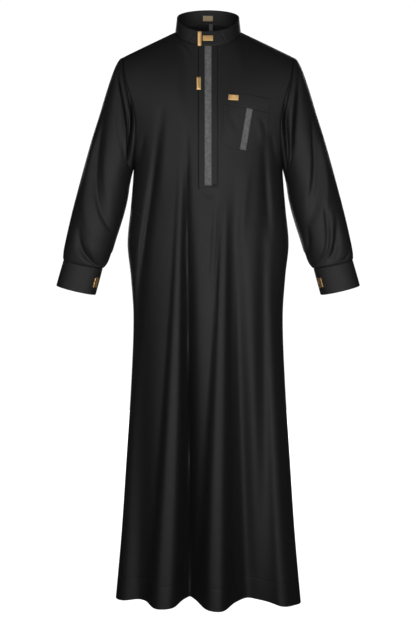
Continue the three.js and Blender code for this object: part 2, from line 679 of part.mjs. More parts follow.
const loop = new THREE.BoxGeometry(NECK_LOOP.width, NECK_LOOP.thickness, NECK_LOOP.top - NECK_LOOP.bottom);
add('neck_loop', loop, tape).position.set(NECK_LOOP.x, NECK_LOOP.y, (NECK_LOOP.top + NECK_LOOP.bottom) / 2);

export default thobe;
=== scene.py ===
"""Finish of a black thobe: thin cloth over the frame's solids, with its folds, seams, stitches and trims.

Sizes in the tables are millimetres, as a cutter reads them, and MM turns them into the frame's metres.
"""
import math

import bpy
import numpy as np
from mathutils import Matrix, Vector


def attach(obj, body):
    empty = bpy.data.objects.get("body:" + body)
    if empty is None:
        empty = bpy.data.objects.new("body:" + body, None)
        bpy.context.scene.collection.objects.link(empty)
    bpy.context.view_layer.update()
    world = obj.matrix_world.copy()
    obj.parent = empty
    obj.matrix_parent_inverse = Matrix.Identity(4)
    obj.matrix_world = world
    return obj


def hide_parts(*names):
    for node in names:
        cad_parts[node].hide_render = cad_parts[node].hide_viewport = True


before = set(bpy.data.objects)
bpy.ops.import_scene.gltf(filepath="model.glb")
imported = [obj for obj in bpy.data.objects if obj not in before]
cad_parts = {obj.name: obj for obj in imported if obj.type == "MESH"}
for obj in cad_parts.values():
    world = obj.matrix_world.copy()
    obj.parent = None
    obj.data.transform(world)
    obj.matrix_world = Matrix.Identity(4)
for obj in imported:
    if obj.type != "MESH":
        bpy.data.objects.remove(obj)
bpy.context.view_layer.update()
MM = 0.001

# Cloth and clearances
SEAM = 0.3
UNDERLAP = 0.6
CLOTH = 1.1
STIFF_CLOTH = 2.3
BAND = 1.1
TAPE_CLOTH = 0.8
METAL = 1.3
FIRST_LAYER = SEAM
SECOND_LAYER = FIRST_LAYER + BAND + SEAM / 2
ON_FIRST = FIRST_LAYER + BAND + 0.05
ON_TAPE = SECOND_LAYER + TAPE_CLOTH + 0.05
EDGE_STEPS = np.array([0, 0.4, 0.9, 1.6])

# Neck seam, stand collar, shoulder and armhole
NECK = {"half_width": 80.5, "front": 76, "back": 62, "front_drop": 43, "back_rise": 22}
COLLAR = {
    "half_width": 76.3, "front": 70, "back": 59, "height": 38, "front_top": -6.5, "side_top": 37.5,
    "back_top": 62,
}
COLLAR_LIFT = 0.8
COLLAR_FOOT = 1.2
COLLAR_ENDS = {"over": 26, "under": 20}
COLLAR_SEAMS = (((-33.7, -8.3), (-49.4, -30.3)), ((29.7, -8.3), (43.7, -31.5)))
TIP = {"x": 208, "z": -62}
ARMPIT = {"x": 183, "z": -335}
ARMHOLE = {"half_depth": 75, "bow": 19.5}
SHOULDER_ROLL = 0.6
NECK_ROLL = 0.75
CHEST_SINE = 0.78
NEAR_NECK = 0.35
NEAR_TIP = 0.85
HEM = {"side": -1394, "lean": 6}
HEM_STITCHING = 52
SKIRT_LENGTH = ARMPIT["z"] - HEM["side"]
HEM_ROWS = [0, 0.8, 2, 4, 7, 11, 16, 22, 29, 36, 42, 46, 48.5, 50, 51, 52, 53, 54, 55.5, 58, 62]

# Placket, breast pocket, side pockets, trims and stitching, in places seen from the front
PLACKET = {"half_width": 21.6, "bottom": -381}
PLACKET_COLUMNS = [1.9, 2.05, 2.1, 2.15, 2.2, 2.28]
GROOVE = {
    "closing_side": 2.2, "other_side": 1.3, "width": 1.7, "below": 1.6, "foot_depth": 2.4, "foot_width": 2.2,
}
TAPE = {"half_width": 8, "bottom": -376}
POCKET = {
    "foot": [(31.3, -271.8), (51.6, -288.6), (124.5, -298.8), (134, -294), (138.6, -283)],
    "line": [(37.2, -183.6), (143.6, -203.9)],
    "hem": [(37.2, -183.3), (143.9, -203.6)],
    "mouth": [(37.8, -155), (75.4, -158.4), (113.5, -163.8), (150.2, -172)],
    "tape_foot": [(74.6, -291.2), (88.6, -293.2)],
    "tape_head": [(91, -193.6), (105, -196.2)],
}
WELT = {"inner_x": 160, "inner_z": -452, "rise": 0.85, "width": 7, "run": 27.6}
TRIMS = {
    "collar_bar": {"x": -20.6, "z": -24.5, "width": 8.8, "height": 35.5},
    "collar_plate": {"x": -0.4, "z": -23.7, "width": 24, "height": 12.6},
    "placket_bar": {"x": -22, "z": -134.5, "width": 9.8, "height": 31},
    "pocket_plate": {"x": 59.6, "z": -168.6, "width": 24, "height": 12.6, "lean": -5},
    "cuff_plate": {"x": 0, "z": 0, "width": 12.6, "height": 24},
    "neck_label": {"x": -0.5, "z": 41, "width": 25, "height": 13},
    "neck_loop": {"x": 7.2, "z": 9, "width": 9.5, "height": 36},
}
CUFF_PLATE = {"turn": 150, "along": 0.53}
NECK_LOOP = {"depth": 58, "curl": 0.6, "curl_run": 9, "thickness": 1}
DISH = 0.16
DISH_RIM = (1.1, 1.6)
CROWN = 0.5
CROWN_RUN = 4
STITCH = {"pitch": 3.3, "length": 2.5, "width": 0.5, "share": 0.76}
STITCH_RINGS = ((-1, 0.3), (-0.7, 0.85), (0, 1), (0.7, 0.85), (1, 0.3))
STITCH_SIDES = 6
STITCH_INSET = 1.8
THREE_ROWS = np.array([-0.02, 0, 0.02])
SEWN_FROM = {"placket": -48, "tape": -47}
SEWN_IN_TAPE = {"side": 0.9, "foot": 1}
BOX_STITCHING = {"closing_side": 20, "other_side": 8}
BAR_TACK = {"line": [(26, -47), (26, -53.5)], "pitch": 0.9}
POCKET_CENTRE = (88, -240)
MOUTH_CENTRE = (92, -181)
POCKET_FOLD = [(41, -181.6), (141, -200.8)]
TAPE_STITCHING = {"head": -195.2, "head_fall": 0.19, "foot": -290.4, "foot_fall": 0.14}
WELT_STITCHING = {"start": 1, "run": 26, "offset": 2.2}
COLLAR_STITCHING = {"top": 0.94, "foot": 0.07}
CUFF_STITCHING = {"top": 0.05, "end": 0.95}

# How finely the cloth is divided: rows up a piece, columns across it, steps between two of a panel's
# columns, the closer rows at a sleeve's ends in millimetres, and angles in degrees
ROWS = {"skirt": 150, "chest": 68, "sleeve": 150, "cuff": 26, "collar": 34, "strip": 120}
COLUMNS = {"cuff": 120, "collar": 430, "placket": 24, "tape": 10, "welt": 26}
PANEL_STEPS = {"front": 3, "back": 4}
SLEEVE_END_ROWS = np.array([0, 0.8, 1.8, 3.2, 5.5])
SLEEVE_TURN = 2.4
SHARP_ANGLE = 50

# The photograph's frame in pixels, its millimetres a pixel and the origin's place in it
PHOTO = {"width": 416, "height": 624, "scale": 2.46, "origin_column": 208.1, "origin_row": 32}

# Camera, floor and lights in metres: each light's place, aim, size, watts and spread in degrees
CAMERA = {"distance": 2.8, "eye": -0.35}
FLOOR = -1.47
LIGHTS = (
    ("left_light", (-2.1, -2.6, 0.8), (0, 0, -0.2), (1.8, 1.6), 2.0, 44),
    ("right_light", (2.2, -2.6, 0.6), (0, 0, -0.25), (1.6, 1.6), 1.3, 44),
    ("skirt_left_light", (-1.0, -3.3, -1.2), (0, 0, -0.95), (1.5, 1.8), 32, 180),
    ("skirt_right_light", (1.2, -3.2, -1.3), (0, 0, -0.95), (1.5, 1.8), 45, 180),
    ("back_left_light", (1.1, 3.2, 0.6), (0, 0, -0.6), (1.2, 2.0), 46, 180),
    ("back_right_light", (-1.1, 3.2, -0.4), (0, 0, -0.8), (1.2, 2.0), 42, 180),
)


def table(columns, *rows):
    """A table with named columns, as one array for each column."""
    return dict(zip(columns.split(), np.array(rows, float).T))


BODY_SECTIONS = table(
    "z half_width front back",
    (25, 183, 108, 96), (-100, 183, 115, 106), (-200, 183, 121, 110), (-335, 183, 124, 107),
    (-430, 190, 123, 101), (-520, 198, 121, 100), (-600, 190, 119, 104), (-700, 183.6, 117, 108),
    (-860, 189, 114, 112), (-1050, 201, 112, 117), (-1230, 213, 111, 121), (-1410, 229, 110, 125),
)
FOLD_COLUMNS = "from_z from_x to_x bow from_width to_width depth growth square"
FRONT_FOLDS = table(
    FOLD_COLUMNS,
    (-330, -66, -106, 6, 4, 37, 36, 1.0, 5),
    (-240, -51, -44, 0, 8, 31, -66, 1.25, 1.2),
    (-380, 41, 15, 0, 6, 37, 40, 1.0, 4),
    (-330, 64, 96, -4, 10, 38, -60, 1.2, 1.8),
    (-330, 133, 140, -4, 10, 28, -20, 0.8, 2),
    (-560, 145, 184, -4, 10, 20, 7, 0.5, 3),
    (-190, -108, -253, -4, 11, 14, -18, 0.5, 2),
    (-600, -158, -166, 0, 20, 30, -26, 1.0, 2),
)
BACK_FOLDS = table(
    FOLD_COLUMNS,
    (-300, -84, -126, 4, 14, 30, 26, 1.4, 2.6),
    (-210, -48, -64, -3, 14, 26, -30, 1.4, 2),
    (-360, -8, 2, 3, 15, 30, 25, 1.5, 2.6),
    (-240, 42, 66, 0, 14, 27, -29, 1.3, 2),
    (-330, 88, 128, -4, 14, 29, 24, 1.4, 2.6),
)

# Finer creases of the cloth: two ends seen from the front, how far the middle bows, width and depth
CREASE_COLUMNS = "from_x from_z to_x to_z bow width depth"
FRONT_CREASES = table(
    CREASE_COLUMNS,
    (-72, -22, -34, -62, 4, 6, 1.6),
    (-62, -30, -26, -66, 3, 5, -1.8),
    (-84, -18, -62, -66, 3, 6, -1.4),
    (86, -18, 66, -62, -3, 6, -1.2),
    (40, -52, 70, -66, 0, 6, 1.0),
    (4, -384, 26, -372, 3, 5, 2.2),
    (-16, -386, 18, -400, 4, 5, -2.4),
    (22, -386, 6, -640, 0, 6, -4.5),
    (-51, -236, -50, -640, 0, 6, -6.5),
    (-50, -430, -44, -1340, 0, 12, -17),
    (-118, -270, -178, -680, 0, 7, -6.5),
    (132, -262, 148, -520, 0, 9, -7.0),
    (-100, -210, -112, -420, 3, 16, 3.5),
    (96, -330, 74, -560, 2, 9, 3.0),
    (60, -380, 52, -900, 0, 8, -2.5),
    (-150, -250, -168, -330, 0, 6, -3.0),
    (150, -250, 166, -330, 0, 6, -3.0),
    (46, -212, 62, -268, 3, 6, 1.3),
    (58, -206, 74, -250, 3, 6, -1.4),
    (112, -210, 128, -286, -4, 7, 1.4),
    (124, -214, 138, -262, -3, 5, -1.3),
    (84, -1290, 93, -1330, 0, 4, -1.3),
    (97, -1294, 104, -1328, 0, 4, -1.0),
    (108, -1290, 119, -1332, 1, 4, -1.4),
    (124, -1296, 131, -1326, 0, 4, -0.9),
    (-96, -1292, -104, -1330, 0, 4, -1.1),
    (-64, -1300, -58, -1338, 0, 4, -0.9),
)
BACK_CREASES = table(
    CREASE_COLUMNS,
    (-70, 4, -30, -46, 4, 8, -1.6),
    (66, 2, 28, -40, -4, 8, -1.4),
    (-150, -120, -96, -250, 6, 14, -3.0),
    (146, -128, 100, -236, -6, 13, -2.6),
    (-46, -216, -58, -640, 2, 7, -6.0),
    (44, -236, 60, -620, -2, 7, -6.0),
    (-128, -300, -170, -700, 0, 8, -6.0),
    (128, -280, 164, -660, 0, 8, -6.0),
    (-8, -330, 4, -700, 0, 9, 3.0),
    (-92, -1300, -84, -1342, 0, 4, -1.1),
    (38, -1300, 46, -1340, 0, 4, -1.0),
    (110, -1298, 104, -1338, 0, 4, -1.2),
)

FRONT = {
    "side": -1, "lift": 22, "depth": "front", "reach": NECK["front"],
    "folds": FRONT_FOLDS, "creases": FRONT_CREASES,
    "rounding": {"neck": 1, "side": 1.42, "tip": 2},
    "columns": np.array([
        0, 8, 21.6, 34, 47, 59, 69, 76, 79.6, 80.5, 92, 106, 121, 137, 153, 168, 182, 193, 202, 208,
    ]),
}
BACK = {
    "side": 1, "lift": -8, "depth": "back", "reach": NECK["back"],
    "folds": BACK_FOLDS, "creases": BACK_CREASES,
    "rounding": {"neck": 1.15, "side": 2.7, "tip": 2},
    "columns": np.array([0, 21.6, 38, 54, 67, 76, 80.5, 94, 110, 127, 144, 161, 178, 195, 208]),
}

SLEEVE_SECTIONS = table(
    "outer_x outer_z inner_x inner_z half_depth bow",
    (208, -62, 183, -335, 75, 1), (219, -70, 184.8, -342, 77, 0.8), (232, -96, 187, -351, 77, 0.45),
    (249, -146, 189.5, -362, 76, 0.2), (266, -203, 193, -381, 74, 0.05), (284, -260, 197, -409, 71, 0),
    (301, -320, 204.5, -442, 68, 0), (318, -383, 214.5, -476, 64, 0), (334, -445, 224.5, -507, 60, 0),
    (347, -502, 235, -541, 54, 0), (354, -538, 245.5, -566, 45, 0), (355, -558, 256, -580, 37, 0),
)
SLEEVE_FORWARD = 14
SLEEVE_RUN = 560
SLEEVE_GIRTH = {"top": 680, "end": 275}

# Sleeve folds: their ends along the sleeve (0 at the armhole, 1 at the cuff) and round it (0 at the
# outer edge, 90 at the front, 180 at the inner edge), with bow, width and depth
SLEEVE_COLUMNS = "start end start_turn end_turn bow width depth"
SLEEVE_FOLDS = table(
    SLEEVE_COLUMNS,
    (0, 0.24, 72, 150, 0, 20, -11), (0.12, 0.28, 34, 130, 0, 18, -5), (0.32, 0.7, 46, 142, -22, 19, -8),
    (0.74, 0.97, 58, 138, -8, 13, -5), (0.02, 0.28, 290, 205, 0, 22, -9),
    (0.32, 0.72, 310, 222, 18, 20, -7), (0.72, 0.97, 300, 226, 8, 14, -5),
)

# Finer creases of each sleeve, those of the back last
BACK_SLEEVE_CREASES = (
    (0.01, 0.24, 300, 205, -16, 6, -7), (0.15, 0.27, 322, 230, 0, 7, -5), (0.36, 0.66, 312, 235, 26, 9, -5),
    (0.76, 0.96, 300, 222, 9, 6, -4),
)
SLEEVE_CREASES = {
    "right": table(
        SLEEVE_COLUMNS,
        (-0.02, 0.24, 58, 142, 22, 8, -14), (0.03, 0.16, 34, 126, 12, 6, 5), (0.13, 0.2, 28, 142, 6, 7, -10),
        (0.21, 0.29, 52, 108, 0, 8, -3), (0.33, 0.7, 44, 144, -34, 9, -6), (0.4, 0.8, 40, 120, -30, 16, 4),
        (0.75, 0.98, 58, 146, -11, 6, -5), (0.8, 0.96, 96, 130, 0, 5, 3), *BACK_SLEEVE_CREASES,
    ),
    "left": table(
        SLEEVE_COLUMNS,
        (-0.02, 0.22, 60, 160, 18, 8, -14), (0.03, 0.14, 40, 128, 10, 6, 5), (0.13, 0.28, 28, 140, 4, 8, -9),
        (0.33, 0.6, 46, 118, -8, 9, -6), (0.42, 0.7, 36, 96, -12, 15, 4), (0.6, 0.95, 78, 136, -14, 6, -5),
        (0.66, 0.95, 60, 112, 0, 7, 3), (0.7, 0.97, 52, 104, 0, 7, -4), (0.88, 0.98, 30, 70, 0, 5, -3),
        (0.68, 0.84, 128, 152, 0, 8, -4), *BACK_SLEEVE_CREASES,
    ),
}
CUFF_SECTIONS = table(
    "outer_x outer_z inner_x inner_z half_depth bow",
    (353.6, -558.9, 257.9, -580.6, 34.6, 0),
    (362.8, -590.5, 266.4, -612.8, 34.2, 0),
    (371.6, -622, 275.2, -645, 34.6, 0),
)
CUFF = {"front_end": 193, "back_end": 168, "step": 3.1, "height": 66}
VENT = {"start": 0.8, "top_turn": 174, "foot_turn": 147, "lip": 1.2, "gap": 7}


def lerp(a, b, t):
    return a + (b - a) * t


def smoothstep(x, low, high):
    t = np.clip((np.asarray(x, float) - low) / (high - low), 0, 1)
    return t * t * (3 - 2 * t)


def round_over(share, exponent):
    s = np.clip(share, 0, 1)
    return (1 - (1 - s) ** 2) ** (1 / exponent)


def along_table(rows, column, z):
    """Smooth value of a column between rows that run from high to low."""
    heights, values = rows["z"], rows[column]
    b = np.clip(np.searchsorted(-heights, -z), 1, len(heights) - 1)
    a, before, after = b - 1, np.maximum(b - 2, 0), np.minimum(b + 1, len(heights) - 1)
    span = heights[a] - heights[b]
    t = np.clip((heights[a] - z) / span, 0, 1)
    slope_a = (values[b] - values[before]) / (heights[before] - heights[b]) * span
    slope_b = (values[after] - values[a]) / (heights[a] - heights[after]) * span
    start = (2 * t**3 - 3 * t**2 + 1) * values[a] + (t**3 - 2 * t**2 + t) * slope_a
    return start + (3 * t**2 - 2 * t**3) * values[b] + (t**3 - t**2) * slope_b


def along_steps(rows, column, share):
    """Smooth value of a column between evenly spaced rows, at shares from 0 to 1."""
    values = rows[column]
    place = np.clip(share, 0, 1) * (len(values) - 1)
    i = np.minimum(np.floor(place).astype(int), len(values) - 2)
    p0, p1, p2, p3 = (values[np.clip(i + k, 0, len(values) - 1)] for k in (-1, 0, 1, 2))
    t = place - i
    return p1 + 0.5 * t * (p2 - p0 + t * (2 * p0 - 5 * p1 + 4 * p2 - p3 + t * (3 * (p1 - p2) + p3 - p0)))


def rows_of(rows):
    """The rows of a table, one dict of plain numbers at a time."""
    return [dict(zip(rows, values)) for values in zip(*rows.values())]


# The body's surface

def neck_height(y):
    down = np.clip(-y / NECK["front"], 0, None)
    up = np.clip(y / NECK["back"], 0, None)
    return -NECK["front_drop"] * (0.8 * down + 0.2 * down**2) + NECK["back_rise"] * up**1.3


def top_edge(panel, column):
    """Depth and height of a panel's top edge, on the neck seam or the shoulder seam."""
    inside = np.clip(1 - (column / NECK["half_width"]) ** 2, 0, None)
    depth = np.maximum(panel["reach"] * np.sqrt(inside), SEAM / 2)
    slope = TIP["z"] / (TIP["x"] - NECK["half_width"])
    shoulder = slope * (column - NECK["half_width"])
    return depth, np.where(inside > 0, neck_height(panel["side"] * depth), shoulder)


def armhole(level):
    """The armhole's x and depth at a level from 0 at the armpit to 1 at the shoulder tip."""
    turn = np.arccos(np.clip(1 - 2 * level, -1, 1))
    bow = ARMHOLE["bow"] * np.sin(turn) ** 2 * smoothstep(180 - np.degrees(turn), 25, 105)
    return lerp(ARMPIT["x"], TIP["x"], level) - bow, ARMHOLE["half_depth"] * np.sin(turn)


def fold_depth(folds, x, z):
    """How far the long folds move the cloth out of a panel."""
    total = np.zeros(np.broadcast(x, z).shape)
    for fold in rows_of(folds):
        t = np.clip((fold["from_z"] - z) / (fold["from_z"] - HEM["side"]), 0, 1.05)
        centre = lerp(fold["from_x"], fold["to_x"], t) + fold["bow"] * 4 * t * (1 - t)
        width = lerp(fold["from_width"], fold["to_width"], t)
        section = np.exp(-(np.abs((x - centre) / width) ** fold["square"]))
        total += fold["depth"] * t ** fold["growth"] * section
    return total


def crease(across, up, run, row):
    """The depth of one crease at places measured from its start, along a run to its end."""
    length = np.hypot(*run)
    t = np.clip((across * run[0] + up * run[1]) / length**2, 0, 1)
    aside = (across * run[1] - up * run[0]) / length - row["bow"] * 4 * t * (1 - t)
    return row["depth"] * np.sin(math.pi * t) * np.exp(-((aside / row["width"]) ** 2))


def crease_depth(creases, x, z):
    """How far the short creases move the cloth out of a panel."""
    total = np.zeros(np.broadcast(x, z).shape)
    for row in rows_of(creases):
        run = (row["to_x"] - row["from_x"], row["to_z"] - row["from_z"])
        total += crease(x - row["from_x"], z - row["from_z"], run, row)
    return total


def column_x(panel, index, edge_x, level):
    """Where a column stands: straight by the placket, even on the skirt, by the table at the top."""
    columns = panel["columns"]
    first = list(columns).index(PLACKET["half_width"])
    column = np.interp(index, np.arange(len(columns)), columns)
    even = np.clip((index - first) / (len(columns) - 1 - first), 0, 1)
    skirt = 0.5 * even + 0.5 * np.sin(even * math.pi / 2)
    top = (column - PLACKET["half_width"]) / (TIP["x"] - PLACKET["half_width"])
    share = lerp(skirt, top, level)
    return np.where(index <= first, column, PLACKET["half_width"] + (edge_x - PLACKET["half_width"]) * share)


def with_folds(panel, depth, roundness, x, z):
    folds = fold_depth(panel["folds"], x, z) + crease_depth(panel["creases"], x, z)
    return np.maximum(depth + smoothstep(roundness, 0, 0.5) * folds, SEAM / 2)


def skirt_depth(panel, x, z):
    edge_x = along_table(BODY_SECTIONS, "half_width", z)
    roundness = np.sqrt(np.clip(1 - (x / edge_x) ** 2, 0, None))
    depth = along_table(BODY_SECTIONS, panel["depth"], z) * roundness
    return with_folds(panel, depth, roundness, x, z)


def chest_depth(panel, x, z, level, column):
    level = np.clip(level, 0, 1 - 1e-7)
    edge_x, edge_y = armhole(level)
    full = along_table(BODY_SECTIONS, panel["depth"], z)
    edge_depth = edge_y / round_over((1 - level) / SHOULDER_ROLL, 2)
    edge_sine = np.sqrt(1 - np.clip(edge_depth / full, 0, 1) ** 2)
    out = np.clip(np.abs(x) / (edge_x - SEAM / 2), 0, 1)
    sine = lerp(lerp(1, CHEST_SINE, smoothstep(level, -0.12, 0.6)), edge_sine, out**6)
    roundness = np.sqrt(np.clip(1 - (out * sine) ** 2, 0, None))
    neckward = smoothstep(NECK["half_width"] - column, 0, NECK["half_width"] * NEAR_NECK)
    tipward = smoothstep(column, NECK["half_width"], TIP["x"] * NEAR_TIP)
    rounding = panel["rounding"]
    exponent = lerp(lerp(rounding["side"], rounding["tip"], tipward), rounding["neck"], neckward)
    roll = round_over((1 - level) / lerp(SHOULDER_ROLL, NECK_ROLL, neckward), exponent)
    top = top_edge(panel, column)[0]
    return with_folds(panel, top + (full * roundness - top) * roll, roundness, x, z)


def panel_points(panel, across, skirt, levels):
    """A panel as a grid of points, from the hem up and from -X to +X."""
    last = len(panel["columns"]) - 1
    index, sign, even = np.abs(across), np.sign(across), across / last
    hem = HEM["side"] - HEM["lean"] * even + panel["lift"] * (1 - even**2)
    z = lerp(hem[None, :], ARMPIT["z"], skirt[:, None])
    edge_x = along_table(BODY_SECTIONS, "half_width", z)
    x = sign * column_x(panel, index, edge_x, 0)
    lower = np.stack([x, panel["side"] * skirt_depth(panel, x, z), z], axis=-1)
    column = np.interp(index, np.arange(last + 1), panel["columns"])
    level = levels[:, None]
    x = sign * column_x(panel, index, armhole(level)[0] - SEAM / 2, level)
    z = lerp(ARMPIT["z"], top_edge(panel, column)[1], level)
    depth = chest_depth(panel, x, z, level, np.broadcast_to(column, z.shape))
    upper = np.stack([x, panel["side"] * depth, z], axis=-1)
    return np.concatenate([lower, upper])


def depth_at(panel, x, z):
    """How far out a panel lies at places seen from the front, found by halving along the columns."""
    indices, columns = np.arange(len(panel["columns"])), panel["columns"]
    low, high = np.zeros(x.shape), np.full(x.shape, float(TIP["x"]))
    for _ in range(32):
        column = (low + high) / 2
        level = np.clip((z - ARMPIT["z"]) / (top_edge(panel, column)[1] - ARMPIT["z"]), 0, 1)
        reach = column_x(panel, np.interp(column, columns, indices), armhole(level)[0] - SEAM / 2, level)
        low, high = np.where(reach < np.abs(x), column, low), np.where(reach < np.abs(x), high, column)
    chest = chest_depth(panel, x, z, level, column)
    return np.where(z < ARMPIT["z"], skirt_depth(panel, x, z), chest)


# Grids of points

def grid_normals(grid, closed=False, flip=False):
    """Unit normals of a grid of points; closed grids join their last column to the first."""
    if closed:
        across = np.roll(grid, -1, axis=1) - np.roll(grid, 1, axis=1)
    else:
        across = np.gradient(grid, axis=1)
    normals = np.cross(across, np.gradient(grid, axis=0))
    normals *= -1 if flip else 1
    return normals / np.maximum(np.linalg.norm(normals, axis=-1, keepdims=True), 1e-9)


def running_length(grid, axis):
    steps = np.linalg.norm(np.diff(grid, axis=axis), axis=-1)
    start = np.zeros_like(np.take(steps, [0], axis=axis))
    return np.concatenate([start, np.cumsum(steps, axis=axis)], axis=axis)


def shell(name, outer, inner, closed=False, flip=False):
    """One closed wall between an outer and an inner grid, with a map of the cloth in metres."""
    rows, count = outer.shape[:2]
    vertices = np.concatenate([outer.reshape(-1, 3), inner.reshape(-1, 3)]) * MM
    cells = count if closed else count - 1
    j, i = np.meshgrid(np.arange(rows - 1), np.arange(cells), indexing="ij")
    right = (i + 1) % count
    a, b, c, d = (j * count + i, j * count + right, (j + 1) * count + right, (j + 1) * count + i)
    corners = np.stack([a, b, c, d], axis=-1).reshape(-1, 4)
    under = corners[:, ::-1] + rows * count
    k = np.arange(cells)
    foot = np.stack([k + rows * count, (k + 1) % count + rows * count, (k + 1) % count, k], axis=-1)
    top = (rows - 1) * count
    head = np.stack([top + k, top + (k + 1) % count, top + (k + 1) % count + rows * count,
                     top + k + rows * count], axis=-1)
    faces = [corners, under, foot, head]
    if not closed:
        m = np.arange(rows - 1) * count
        n = m + count - 1
        faces.append(np.stack([m + rows * count, m, m + count, m + count + rows * count], axis=-1))
        faces.append(np.stack([n, n + rows * count, n + count + rows * count, n + count], axis=-1))
    faces = np.concatenate(faces)
    if flip:
        faces = faces[:, ::-1]
    mesh = bpy.data.meshes.new(name)
    mesh.from_pydata(vertices.tolist(), [], faces.tolist())
    along = running_length(outer, 1) * MM
    down = running_length(outer, 0) * MM
    flat = np.stack([along, down], axis=-1).reshape(-1, 2)
    add_cloth_map(mesh, np.concatenate([flat, flat]))
    return finished(mesh, name)


def add_cloth_map(mesh, places):
    layer = mesh.uv_layers.new(name="cloth")
    loops = np.empty(len(mesh.loops), dtype=np.int32)
    mesh.loops.foreach_get("vertex_index", loops)
    layer.data.foreach_set("uv", places[loops].astype(np.float32).ravel())


def finished(mesh, name):
    mesh.validate()
    mesh.shade_smooth()
    mesh.set_sharp_from_angle(angle=math.radians(SHARP_ANGLE))
    thing = bpy.data.objects.new(name, mesh)
    bpy.context.scene.collection.objects.link(thing)
    return thing


def moved(grid, normals, distance):
    return grid + normals * np.asarray(distance)[..., None]


def seam_roll(distance, depth=1.0, width=2.0):
    """How far the cloth turns in beside a seam."""
    return -depth * np.exp(-((distance / width) ** 2))


# Finishes

class Value:
    """A socket that can be used in arithmetic: each operator adds the Math node that it needs."""

    def __init__(self, finish, socket):
        self.finish, self.socket = finish, socket

    def _math(self, operation, *inputs):
        return self.finish.node("ShaderNodeMath", {"operation": operation}, dict(enumerate(inputs)))

    def __add__(self, other):
        return self._math("ADD", self, other)

    def __sub__(self, other):
        return self._math("SUBTRACT", self, other)

    def __mul__(self, other):
        return self._math("MULTIPLY", self, other)

    def __rsub__(self, other):
        return self._math("SUBTRACT", other, self)

    __radd__, __rmul__ = __add__, __mul__

    def sine(self):
        return self._math("SINE", self)

    def at_least(self, other):
        return self._math("MAXIMUM", self, other)

    def at_most(self, other):
        return self._math("MINIMUM", self, other)


class Finish:
    """A material, built from nodes."""

    def __init__(self, name):
        self.material = bpy.data.materials.new(name)
        self.material.use_nodes = True
        self.tree = self.material.node_tree
        self.shader = self.tree.nodes["Principled BSDF"]

    def node(self, kind, settings=None, inputs=None, output=0):
        """Adds a node, sets it up, then gives its sockets values or links."""
        node = self.tree.nodes.new(kind)
        for name, value in (settings or {}).items():
            if name == "stops":
                for stop, (place, colour) in zip(node.color_ramp.elements, value):
                    stop.position, stop.color = place, colour
            else:
                setattr(node, name, value)
        for name, value in (inputs or {}).items():
            self.put(node.inputs[name], value)
        return Value(self, node.outputs[output])

    def put(self, socket, value):
        if isinstance(value, Value):
            self.tree.links.new(value.socket, socket)
        else:
            socket.default_value = value

    def set(self, **values):
        for name, value in values.items():
            self.put(self.shader.inputs[name.replace("_", " ")], value)

    def cloth_place(self):
        """The place on the cloth in metres, across and along the grain."""
        place = self.node("ShaderNodeUVMap", {"uv_map": "cloth"})
        parts = self.tree.nodes.new("ShaderNodeSeparateXYZ")
        self.put(parts.inputs[0], place)
        return place, Value(self, parts.outputs[0]), Value(self, parts.outputs[1])

    def noise(self, place, scale, detail=2.0, roughness=0.5):
        inputs = {"Vector": place, "Scale": scale, "Detail": detail, "Roughness": roughness}
        return self.node("ShaderNodeTexNoise", {}, inputs)

    def bump(self, height, distance, strength=1.0, under=None):
        inputs = {"Height": height, "Distance": distance, "Strength": strength}
        if under:
            inputs["Normal"] = under
        return self.node("ShaderNodeBump", {}, inputs)

    def mix(self, share, first, second):
        factor, colour_a, colour_b = 0, 6, 7
        inputs = {factor: share, colour_a: first, colour_b: second}
        return self.node("ShaderNodeMix", {"data_type": "RGBA"}, inputs, output=2)


def grey(level):
    return (level, level, level, 1)


def black_cloth():
    """Satin-faced black suiting: a steep twill, a little slub and a soft sheen."""
    finish = Finish("black_cloth")
    place, across, along = finish.cloth_place()
    pitch = 0.00055
    twill = ((across + along * 0.5) * (2 * math.pi / pitch)).sine()
    weft = (along * (2 * math.pi / (pitch * 0.7))).sine()
    slub = finish.noise(place, 260, 3)
    drift = finish.noise(place, 5, 3)
    rubbed = finish.noise(place, 38, 4, 0.6)
    finish.set(
        Base_Color=finish.mix(drift, (0.0068, 0.0068, 0.007, 1), (0.0088, 0.0088, 0.009, 1)),
        Roughness=0.58 + rubbed * 0.1,
        Specular_IOR_Level=0.4,
        Normal=finish.bump(twill * 0.6 + weft * 0.2 + slub * 0.5, 0.00004, 0.5,
                           finish.bump(rubbed, 0.0012, 0.25)),
    )
    return finish.material


def grey_tape():
    """Grey woven tape with a fine crosswise rib and mottled yarn."""
    finish = Finish("grey_tape")
    place, across, along = finish.cloth_place()
    rib = (along * (2 * math.pi / 0.0011)).sine()
    warp = (across * (2 * math.pi / 0.0009)).sine()
    mottle = finish.noise(place, 420, 3, 0.6)
    cloud = finish.noise(place, 110, 3, 0.6)
    shade = (mottle * 0.5 + cloud * 1.5 - 0.5 + rib * 0.06 + warp * 0.05).at_least(0).at_most(1)
    finish.set(
        Base_Color=finish.mix(shade, (0.06, 0.06, 0.062, 1), (0.22, 0.22, 0.225, 1)),
        Roughness=0.62 + mottle * 0.2,
        Specular_IOR_Level=0.35,
        Normal=finish.bump(rib * 0.5 + warp * 0.4 + mottle, 0.00012, 0.6),
    )
    return finish.material


def gold_metal():
    """Polished warm gold, lightly brushed along its length and dulled in spots."""
    finish = Finish("gold_metal")
    place, *_ = finish.cloth_place()
    stretched = finish.node("ShaderNodeMapping", {}, {"Vector": place, "Scale": (1, 14, 1)})
    brushed = finish.noise(stretched, 900, 3)
    dull = finish.noise(place, 160, 3, 0.6)
    finish.set(
        Base_Color=finish.mix(dull, (1.0, 0.58, 0.21, 1), (1.0, 0.70, 0.33, 1)),
        Metallic=1.0,
        Roughness=0.36 + dull * 0.16 + brushed * 0.06,
        Normal=finish.bump(brushed, 0.00003, 0.4),
    )
    return finish.material


